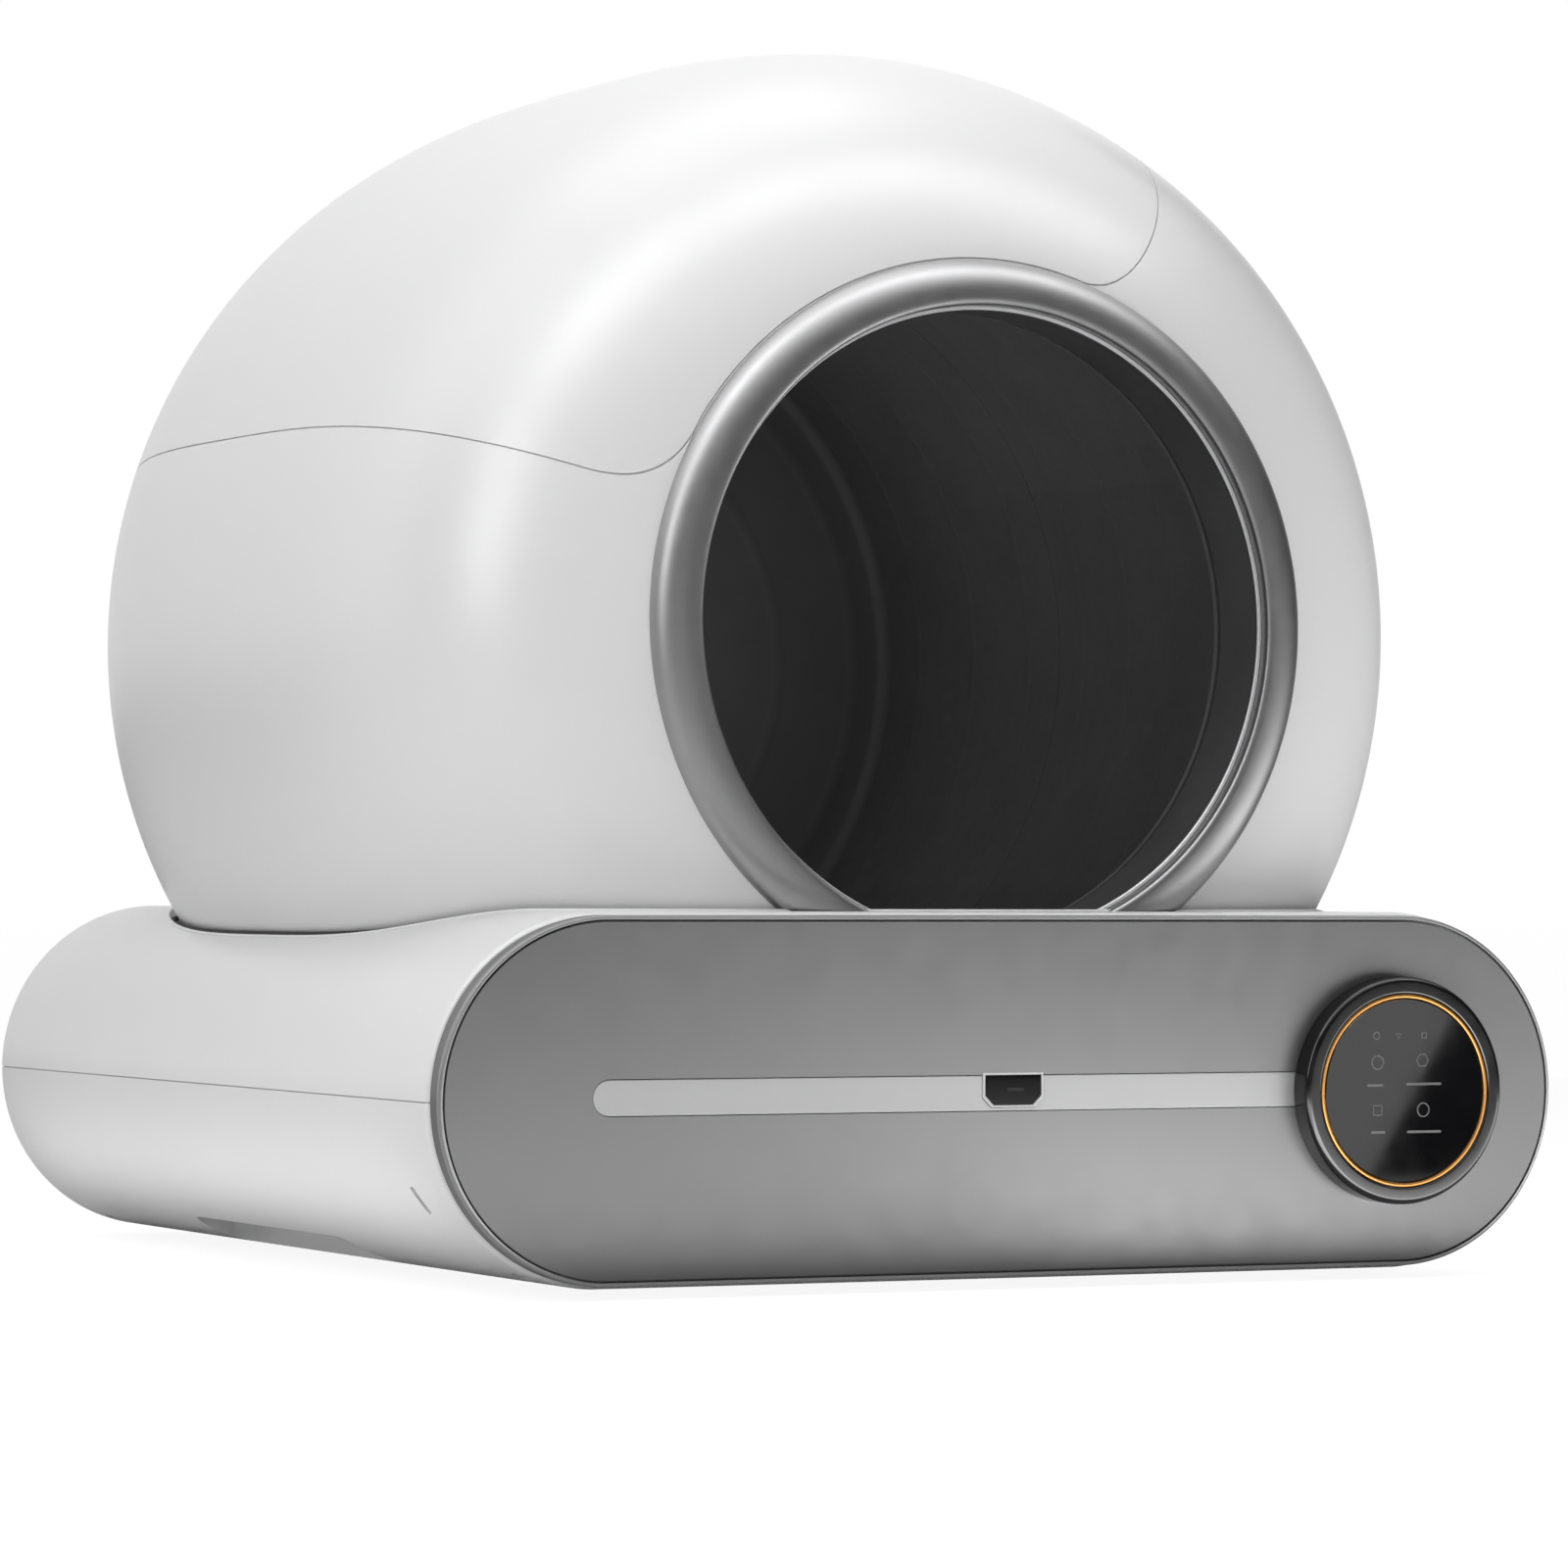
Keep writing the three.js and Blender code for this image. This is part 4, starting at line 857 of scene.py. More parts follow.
@dataclass
class Entrance:
    """The silver ring, whose lip bead is painted bright as a highlight, and the black tunnel behind it."""

    plan: Plan
    dome: Dome
    proud: float = 10.0
    lip: float = 1.4
    lip_width: float = 1.8
    lip_chamfer: float = 0.5
    bead: float = 0.4
    bead_edge: float = 0.1
    brow: float = 2.4
    brow_handle: float = 0.7
    brow_width: float = 1.0
    crest_share: float = 0.24
    crown_share: float = 0.66
    crown_drop: float = 0.75
    heel: float = 4.2
    foot: float = 6.0
    skirt: float = 4.0
    tunnel_wall: float = 3.3
    tunnel_depth: float = 34.0
    flange_lift: float = 1.4
    flange_wall: float = 3.0
    collar: float = 11.0
    bore_step: float = 0.6
    bore_land: float = 9.0
    bore_slope: float = 1.0
    brow_steps: int = 10
    crown_steps: int = 16
    steps: int = 240

    @property
    def lip_y(self) -> float:
        """Y of the ring's inner lip."""
        return self.dome.face_y(self.dome.opening) - self.plan.gap - 2 * self.lip

    @property
    def crest_y(self) -> float:
        """Y of the ring's foremost line."""
        return self.dome.face_y(self.dome.opening) - self.proud

    def crown(self) -> list[Point]:
        """Draws the ring's curve from its crest out to its seat on the dome.

        Returns:
            Radius and Y of each point.
        """
        inner, outer, crest = self.plan.ring_inner, self.plan.ring_outer, self.crest_y
        band = outer - inner
        return bezier((inner + band * self.crest_share, crest), (inner + band * self.crown_share, crest),
                      (outer - self.plan.gap, crest + (self.lip_y - crest) * self.crown_drop),
                      (outer, self.dome.face_y(outer) - self.plan.gap), self.crown_steps)

    def ring(self) -> None:
        """Makes the proud satin ring, and the bead on its inner lip in a brighter copy of the satin finish that paints
        the highlight along the lip.
        """
        inner, crest, crown, low = self.plan.ring_inner, self.crest_y, self.crown(), self.lip_y
        step, heel, foot = inner + self.lip_width, inner + self.heel, self.plan.ring_outer - self.foot
        profile = [(inner, low + self.lip), (inner, low + self.lip_chamfer), (inner + self.lip_chamfer, low),
                   (step, low),
                   *bezier((step, crest + self.brow), (step, crest + self.brow_handle),
                           (step + self.brow_width, crest), crown[0], self.brow_steps),
                   *crown[1:], (foot, self.dome.face_y(foot) - self.plan.gap), (foot, low + self.skirt),
                   (heel, low + self.skirt), (heel, low + self.lip), (inner, low + self.lip)]
        Blank.turned(profile, 0, self.plan.axis_z, self.steps).piece(
            "entrance_ring_band", Body.HOUSING, SATIN_SILVER, "entrance_ring", crease=40, even=False)
        edge = self.bead_edge
        start, end, low = inner + edge, step - edge, low - edge / 2
        high = low - self.bead
        bead = [(start, low), (start, high + 2 * edge), (start + 2 * edge, high), (end - 2 * edge, high),
                (end, low), (start, low)]
        # The bead's bright finish paints the highlight along the ring's inner lip
        Blank.turned(bead, 0, self.plan.axis_z, self.steps).piece(
            "entrance_ring_lip", Body.HOUSING, RING_LIP_HIGHLIGHT, crease=20, even=False)

    def tunnel(self) -> None:
        """Makes the black tunnel, with shallow steps in its bore."""
        plan, step, land, slope = self.plan, self.bore_step, self.bore_land, self.bore_slope
        bore, brim = plan.ring_inner + 2 * plan.gap, plan.ring_outer - 2 * plan.gap
        outer = bore + self.tunnel_wall
        front = self.lip_y + self.lip + plan.gap
        rear = front + self.tunnel_depth
        flange = self.dome.face_y(brim, self.dome.wall) + self.flange_lift
        flange_back, collar_front = flange + self.flange_wall, rear - self.flange_wall
        profile = [(bore, front), (outer, front), (outer, flange), (brim, flange), (brim, flange_back),
                   (outer, flange_back), (outer, collar_front), (outer + self.collar, collar_front),
                   (outer + self.collar, rear), (bore + 2 * step, rear), (bore + 2 * step, rear - land + slope),
                   (bore + step, rear - land), (bore + step, front + land + slope), (bore, front + land),
                   (bore, front)]
        Blank.turned(profile, 0, plan.axis_z, self.steps).piece(
            "entrance_tunnel_bore", Body.HOUSING, TUNNEL_BLACK, "entrance_tunnel", crease=28, even=False)

    def build(self) -> None:
        """Makes the ring and the tunnel."""
        self.ring()
        self.tunnel()


@dataclass
class Drum:
    """The turning drum with pressed rings inside and the sieve across one side."""

    plan: Plan
    wall: float = 3.0
    corner: float = 9.0
    seam_share: float = 0.56
    mouth: float = 136.25
    port_width: float = 140.0
    port_inset: float = 60.0
    port_share: float = 0.372
    port_corner: float = 10.0
    ring_pitch: float = 44.0
    ring_halves: Point = (4.0, 2.5)
    ring_depth: float = 0.8
    seam_land: float = 1.0
    end_rings: Sequence[float] = (70.0, 126.0, 168.0)
    end_halves: Point = (5.0, 3.0)
    end_depth: float = 1.0
    grate_angles: Point = (-100.0, -30.0)
    grate_wall: float = 3.0
    grate_margin: float = 12.0
    grate_corner: float = 4.0
    grate_ease: float = 0.6
    packed_facets: int = 36
    slot_width: float = 14.0
    slot_pitch: float = 32.0
    slot_land: float = 0.1
    slot_steps: int = 6
    corner_steps: int = 8
    steps: int = 200

    @property
    def seam_y(self) -> float:
        """Y of the seam between the two halves."""
        return self.plan.drum_front + self.seam_share * (self.plan.drum_back - self.plan.drum_front)

    @staticmethod
    def pressing(middle: float, level: float, halves: Point, height: float) -> list[Point]:
        """Section of a shallow pressed ring.

        Args:
            middle: Place of its middle along the wall.
            level: Place of the wall's face.
            halves: Half of its width at its foot and at its top.
            height: How far it stands out, signed.

        Returns:
            Place along and across the wall of each point.
        """
        wide, narrow = halves
        return [(middle - wide, level), (middle - narrow, level + height), (middle + narrow, level + height),
                (middle + wide, level)]

    def pressed_wall(self, y0: float, y1: float) -> list[Point]:
        """Draws the rings pressed round the inside of the drum wall.

        Args:
            y0: Front of the plain wall.
            y1: Back of the plain wall.

        Returns:
            Radius and Y of each point, from back to front.
        """
        inside = self.plan.drum_radius - self.wall
        count = int((y1 - y0) / self.ring_pitch)
        middles = [y0 + (y1 - y0) * (i + 0.5) / count for i in range(count)]
        points = [p for y in middles for p in self.pressing(y, inside, self.ring_halves, -self.ring_depth)]
        return [(r, y) for y, r in reversed(points)]

    def front(self) -> None:
        """Makes the front half with its mouth and the waste port."""
        plan, wall, y0 = self.plan, self.wall, self.plan.drum_front
        radius, middle = plan.drum_radius, (plan.drum_radius - self.corner, y0 + self.corner)
        profile = [(self.mouth, y0), *arc(middle, self.corner, -90, 0, self.corner_steps), (radius, self.seam_y),
                   (radius - wall, self.seam_y),
                   *self.pressed_wall(middle[1] + self.ring_halves[0], self.seam_y - self.seam_land),
                   *arc(middle, self.corner - wall, 0, -90, self.corner_steps),
                   (self.mouth, y0 + wall), (self.mouth, y0)]
        start, half = y0 + self.port_inset, self.port_width / 2
        end = start + self.port_share * (plan.drum_back - plan.drum_front)
        port = Blank.upright(rounded_rectangle((-half, half), (start, end), self.port_corner), (plan.axis_z, REACH))
        Blank.turned(profile, 0, plan.axis_z, self.steps).cut(port).piece(
            "drum_front_half", Body.DRUM, DRUM_BLACK, "drum_front")

    def rear(self) -> None:
        """Makes the rear half with stepped rings pressed into its end."""
        plan, wall, y0, y1 = self.plan, self.wall, self.seam_y + self.plan.gap, self.plan.drum_back
        radius, middle = plan.drum_radius, (plan.drum_radius - self.corner, y1 - self.corner)
        rings = [self.pressing(r, y1 - wall, self.end_halves, -self.end_depth) for r in self.end_rings]
        profile = [(radius, y0), *arc(middle, self.corner, 0, 90, self.corner_steps), (0, y1), (0, y1 - wall),
                   *[p for ring in rings for p in ring],
                   *arc(middle, self.corner - wall, 90, 0, self.corner_steps),
                   *self.pressed_wall(y0 + self.seam_land, middle[1] - self.ring_halves[0]),
                   (radius - wall, y0), (radius, y0)]
        Blank.turned(profile, 0, plan.axis_z, self.steps).piece(
            "drum_rear_half", Body.DRUM, DRUM_BLACK, "drum_rear")

    def grate(self) -> None:
        """Makes the sieve plate with two rows of round ended slots."""
        plan, width = self.plan, self.slot_width
        inside = (plan.drum_radius - self.wall) * math.cos(math.pi / self.packed_facets) - plan.gap
        drop = inside * math.cos(math.radians((self.grate_angles[1] - self.grate_angles[0]) / 2))
        top = drop + self.grate_wall
        half = math.sqrt(inside * inside - top * top)
        y0, y1 = plan.drum_front + self.grate_margin, plan.drum_back - self.grate_margin
        plate = Blank.upright(rounded_rectangle((-half, half), (y0, y1), self.grate_corner), (drop, top))
        plate.eased(self.grate_ease, 2, at_z(drop, top))
        length = (2 * half - 3 * width) / 2
        starts = [y0 + width + i * self.slot_pitch for i in range(int((y1 - y0 - width) / self.slot_pitch))]
        outlines = [rounded_rectangle((x, x + length), (y, y + width), width / 2 - self.slot_land, self.slot_steps)
                    for x in (width - half, 2 * width + length - half) for y in starts]
        plate.cut(Blank.gathered(Blank.upright(outline, (0, REACH)) for outline in outlines))
        lean = Matrix.Rotation(math.radians(sum(self.grate_angles) / 2), 4, "Y")
        turn = Matrix.Translation((0, 0, plan.axis_z)) @ lean
        bmesh.ops.transform(plate.mesh, matrix=turn, verts=plate.mesh.verts)
        plate.piece("sifting_plate", Body.DRUM, DRUM_BLACK, "sifting_grate")

    def build(self) -> None:
        """Makes both halves and the sieve."""
        self.front()
        self.rear()
        self.grate()


@dataclass
class Base:
    """The white base: lower tub, upper deck with its saddle, feet and power inlet."""

    plan: Plan
    dome: Dome
    entrance: Entrance
    edge: float = 3.0
    seam: float = 0.5
    over: float = 2.0
    tongue: Point = (1.2, 2.8)
    tongue_zs: Point = (-1.0, 2.2)
    groove: Point = (1.0, 3.2)
    groove_zs: Point = (-2.0, 1.8)
    saddle_gap: float = 3.0
    saddle_wall: float = 2.5
    rolled_radius: float = 0.9
    rolled_inset: float = 0.6
    # A dark hoop in the saddle's gap paints the shade that falls between the dome and the saddle
    shade_line_radius: float = 1.3
    shade_line_inset: float = 1.65
    shade_line_rise: float = 0.9
    shade_line_sink: float = 6.0
    shade_line_fade: Point = (200.0, 236.0)
    trim_steps: int = 360
    grip_x: Point = (205.0, 232.4)
    grip_y: Point = (184.0, 372.0)
    grip_zs: Point = (-3.0, 24.0)
    grip_corner: float = 8.0
    grip_wall: float = 2.5
    slit_place: tuple[float, float, float] = (-252.5, 43.0, 37.5)
    slit_lean: Point = (-24.0, 30.0)
    slit_xs: Point = (-9.0, 3.0)
    slit_half: Point = (2.0, 6.5)
    mouth_play: float = 2.0
    mouth_depth: float = 15.0
    foot_radius: float = 16.0
    foot_height: float = 7.0
    foot_edge: float = 0.8
    foot_x: float = 135.0
    foot_ends: Point = (100.0, 504.0)
    foot_recess: float = 10.0
    socket_radius: float = 19.8
    socket_top: float = 13.0
    screw_x: float = 215.0
    screw_ends: Point = (30.0, 526.0)
    screw_radius: float = 2.2
    head_radius: float = 4.4
    head_top: float = 18.0
    boss_radius: float = 6.5
    boss_top: float = 100.0
    peg_radius: float = 4.0
    peg_xs: Point = (-156.0, -64.0)
    peg_ys: Point = (431.0, 489.0)
    peg_zs: Point = (4.0, 15.0)
    axle_x: float = 128.858
    axle_ys: Point = (120.75, 410.8)
    axle_z: float = 117.67
    axle_hole: float = 3.3
    cheek_half: float = 9.0
    cheek_rise: float = 6.0
    cheek_round: float = 5.0
    cheek_reach: Point = (8.5, 11.5)
    motor_rooms: Sequence[tuple[Point, Point]] = (((76.8, 116.1), (385.0, 440.0)), ((-75.0, 126.5), (438.0, 463.0)))
    crown_play: float = 0.8
    drum_play: float = 2.5
    drum_room: Point = (62.0, 508.0)
    chute_half: float = 75.0
    chute_ys: Point = (124.75, 294.8)
    chute_corner: float = 12.0
    rear_land: float = 1.0
    rear_turn: float = 1.0
    edge_steps: int = 5
    axle_steps: int = 24
    foot_steps: int = 64
    room_steps: int = 144
    hole_steps: int = 48
    back_steps: int = 48
    inlet: Point = (-150.0, 49.0)
    inlet_half: float = 7.0
    inlet_bore: float = 3.5
    collar_radius: float = 5.5
    collar_edge: float = 0.4

    def bar(self, depth: float = 0.0) -> Blank:
        """Makes a plain bar of the base's shape.

        Args:
            depth: How far it is drawn in.

        Returns:
            The bar.
        """
        plan = self.plan
        return Blank.stadium(plan.shell_width - 2 * depth, plan.shell_height - 2 * depth,
                             (plan.shell_front + depth, plan.shell_back - depth), plan.centre_z)

    def outside(self) -> Blank:
        """Makes the full outer shape of the base."""
        return self.bar().eased(self.edge, self.edge_steps, at_y(self.plan.shell_front, self.plan.shell_back))

    def band(self, depths: Point, zs: Point, seam_z: float) -> Blank:
        """Makes a band inside the base's wall.

        Args:
            depths: Depths of its outer and inner face below the base's surface.
            zs: Bottom and top, counted from the seam.
            seam_z: Height of the seam.

        Returns:
            The band.
        """
        return self.bar(depths[0]).cut(self.bar(depths[1])).meet(Blank.slab((seam_z + zs[0], seam_z + zs[1])))

    def mouth(self) -> Blank:
        """Makes the drawer's way in.

        Returns:
            The block to cut out.
        """
        plan = self.plan
        half = plan.bin_half + self.mouth_play
        zs = (plan.bin_bottom - plan.gap, plan.deck_bottom - plan.gap)
        return Blank.box((-half, half), (0, self.mouth_depth), zs)

    @staticmethod
    def corners(x: float, ys: Point) -> list[Point]:
        """Lists four places, mirrored left and right, in the order of the corner names."""
        return [(side * x, y) for y in ys for side in (-1, 1)]

    def lower_tub(self) -> None:
        """Makes the lower half with grips, foot sockets, screw wells and the inlet hole."""
        plan, (x, z) = self.plan, self.inlet
        seam_z = plan.centre_z - self.seam / 2
        screws, feet = self.corners(self.screw_x, self.screw_ends), self.corners(self.foot_x, self.foot_ends)
        inner = [*Blank.rods(self.boss_radius, screws, (0, seam_z)),
                 *Blank.rods(self.socket_radius, feet, (0, self.socket_top), self.hole_steps),
                 self.grip(-1, self.grip_wall), self.grip(1, self.grip_wall),
                 *Blank.rods(self.peg_radius, [(x, y) for x in self.peg_xs for y in self.peg_ys], self.peg_zs)]
        tub = self.outside().cut(self.bar(plan.wall)).join(Blank.gathered(inner).meet(self.outside()))
        tub.cut(self.grip(-1, 0), self.grip(1, 0), self.mouth())
        heads = Blank.rods(self.head_radius, screws, (-2 * self.over, self.head_top))
        shanks = Blank.rods(self.screw_radius, screws, (-self.over, plan.deck_top + self.over))
        hole = Blank.rod(self.collar_radius + plan.gap, (x, plan.shell_back - 2 * plan.wall, z),
                         (x, plan.shell_back + self.over, z))
        recesses = Blank.rods(self.foot_radius + plan.gap, feet, (-self.over, self.foot_recess), self.hole_steps)
        wells = [head.join(shank) for head, shank in zip(heads, shanks)]
        tub.cut(Blank.gathered([*recesses, *wells, hole]), self.slit())
        tub.cut(Blank.slab((seam_z, REACH))).join(self.band(self.tongue, self.tongue_zs, seam_z).cut(self.mouth()))
        tub.piece("base_tub_shell", Body.HOUSING, WHITE_SHELL, "lower_tub", crease=30)

    def grip(self, side: int, grow: float) -> Blank:
        """Makes the block that a hand grip is cut from, or its wall.

        Args:
            side: -1 for the left grip, 1 for the right one.
            grow: How far the block is grown.

        Returns:
            The block.
        """
        xs = sorted(side * x for x in (self.grip_x[0] - grow, self.grip_x[1] + grow))
        ys = (self.grip_y[0] - grow, self.grip_y[1] + grow)
        return Blank.upright(rounded_rectangle(xs, ys, self.grip_corner), (self.grip_zs[0], self.grip_zs[1] + grow))

    def slit(self) -> Blank:
        """Makes the short slanted slit low on the left side, near the front.

        Returns:
            The block to cut out.
        """
        lean, dip = (Matrix.Rotation(math.radians(a), 4, axis) for a, axis in zip(self.slit_lean, "XY"))
        ys, zs = ((-half, half) for half in self.slit_half)
        return Blank.box(self.slit_xs, ys, zs, Matrix.Translation(self.slit_place) @ lean @ dip)

    def upper_deck(self) -> None:
        """Makes the upper half: deck, saddle, screw bosses, roller cheeks and their openings."""
        plan, dome = self.plan, self.dome
        seam_z = plan.centre_z + self.seam / 2
        deck = self.outside().cut(self.bar(plan.wall))
        deck.join(Blank.slab((plan.deck_bottom, plan.deck_top)).meet(self.outside()))
        skirt = dome.solid(self.saddle_gap + self.saddle_wall).meet(Blank.slab((plan.deck_bottom, plan.axis_z)))
        deck.join(skirt.meet(self.outside()))
        deck.cut(dome.solid(self.saddle_gap).meet(Blank.slab((plan.deck_top, REACH))))
        screws = self.corners(self.screw_x, self.screw_ends)
        bosses = Blank.rods(self.boss_radius, screws, (plan.deck_bottom, self.boss_top))
        deck.join(Blank.gathered([*bosses, *self.cheeks()]))
        deck.cut(Blank.slab((-REACH, seam_z)), self.mouth(), self.band(self.groove, self.groove_zs, seam_z))
        zs = (0, plan.deck_top + self.over)
        deck.cut(*(Blank.box(xs, ys, zs) for xs, ys in self.motor_rooms))
        crown = [(radius + self.crown_play, y - self.crown_play) for radius, y in self.entrance.crown()]
        wide, (y0, y1) = plan.drum_radius + self.drum_play, self.drum_room
        room = [(0, crown[0][1]), *crown, (crown[-1][0], y0), (wide, y0), (wide, y1), (0, y1)]
        chute = Blank.upright(rounded_rectangle((-self.chute_half, self.chute_half), self.chute_ys,
                                                self.chute_corner), zs)
        deck.cut(Blank.turned(room, 0, plan.axis_z, self.room_steps), chute)
        deck.piece("base_deck_saddle", Body.HOUSING, WHITE_SHELL, "upper_deck", crease=30)

    def cheeks(self) -> list[Blank]:
        """Makes the upright cheeks that carry the roller axles.

        Returns:
            The cheeks, two for each roller.
        """
        top = self.axle_z + self.cheek_rise
        made = []
        for x, y in self.corners(self.axle_x, self.axle_ys):
            for side in (-1, 1):
                ys = sorted(y + side * reach for reach in self.cheek_reach)
                cheek = Blank.box((x - self.cheek_half, x + self.cheek_half), ys, (self.plan.deck_bottom, top))
                cheek.eased(self.cheek_round, 4,
                            lambda e: at_z(top)(e) and abs(e.verts[0].co.x - e.verts[1].co.x) < NEAR)
                made.append(cheek.cut(Blank.rod(self.axle_hole, (x, ys[0] - self.over, self.axle_z),
                                                (x, ys[1] + self.over, self.axle_z), self.axle_steps)))
        return made

    def saddle_edge(self, inset: float) -> list[Vector]:
        """Finds the closed line where the base's outside meets the dome's shape.

        Args:
            inset: Distance of the line outside the dome.

        Returns:
            Points of the line, from the rear left corner round the front and back across the rear wall.
        """
        plan, dome = self.plan, self.dome
        half, radius = (plan.shell_width - plan.shell_height) / 2, plan.shell_height / 2
        points = []
        for i in range(self.trim_steps):
            turn = math.tau * i / self.trim_steps - math.pi
            near, far = 0.0, REACH
            while far - near > NEAR * NEAR:
                reach = (near + far) / 2
                x, y = reach * math.sin(turn), dome.centre_y - reach * math.cos(turn)
                drop = max(abs(x) - half, 0.0)
                z = plan.centre_z + math.sqrt(max(radius * radius - drop * drop, 0.0))
                inside = math.hypot(x, z - plan.axis_z) < dome.section(y, inset)
                near, far = (reach, far) if inside else (near, reach)
            if y < plan.shell_back - self.rear_land:
                points.append(Vector((x, y, z)))
        back = dome.section(plan.shell_back, inset)
        last = math.degrees(math.acos((plan.axis_z - plan.centre_z - radius) / back)) - self.rear_turn
        return points + [Vector((x, plan.shell_back - self.rolled_inset, z))
                         for x, z in arc((0.0, plan.axis_z), back, last - 90, -last - 90, self.back_steps)]

    def saddle_trim(self) -> None:
        """Makes the rolled edge of the saddle, and a dark hoop under the dome whose black paints the shade in the gap
        between dome and saddle.
        """
        Blank.hoop(self.saddle_edge(self.saddle_gap + self.rolled_inset), self.rolled_radius).piece(
            "saddle_rolled_edge", Body.HOUSING, WHITE_SHELL, crease=60, even=False)
        # The dark hoop is painted shade: it is raised above the saddle's rim at the sides and sunk at the front
        path = self.saddle_edge(self.saddle_gap - self.shade_line_inset)
        flat, steep = self.shade_line_fade
        for point in path:
            if point.y < self.plan.shell_back - self.over:
                share = min(max((steep - abs(point.x)) / (steep - flat), 0.0), 1.0)
                point.z += self.shade_line_rise - self.shade_line_sink * share
        Blank.hoop(path, self.shade_line_radius).piece("saddle_painted_shade_line", Body.HOUSING, RUBBER, crease=60, even=False)

    def feet(self) -> None:
        """Makes the four rubber feet with eased rims."""
        zs = (0.0, self.foot_height)
        feet = Blank.rods(self.foot_radius, self.corners(self.foot_x, self.foot_ends), zs, self.foot_steps)
        for place, foot in zip(CORNERS, feet):
            foot.eased(self.foot_edge, 3, at_z(*zs)).piece(f"foot_pad_{place}", Body.HOUSING, RUBBER, f"foot_{place}")

    def power_inlet(self) -> None:
        """Makes the inlet's body and its round collar."""
        plan, (x, z), half = self.plan, self.inlet, self.inlet_half
        back, end = plan.shell_back - plan.wall - plan.gap, plan.shell_back - plan.gap
        start = back - plan.wall + plan.gap
        radius, edge = self.collar_radius, self.collar_edge
        collar = Blank.turned([(0, start), (radius, start), (radius, end - edge), (radius - edge, end), (0, end)],
                              x, z, self.hole_steps)
        body = Blank.box((x - half, x + half), (back - 2 * half, back), (z - half, z + half)).join(collar)
        floor = back - 2 * half + plan.wall
        bore = Blank.rod(self.inlet_bore, (x, floor, z), (x, end + self.over, z), self.hole_steps)
        body.cut(bore).piece("power_inlet_socket", Body.HOUSING, TUNNEL_BLACK, "dc_inlet", crease=30)

    def build(self) -> None:
        """Makes both halves, the rolled edge of the saddle and the dark hoop of painted shade under the dome, the feet
        and the inlet.
        """
        self.lower_tub()
        self.upper_deck()
        self.saddle_trim()
        self.feet()
        self.power_inlet()


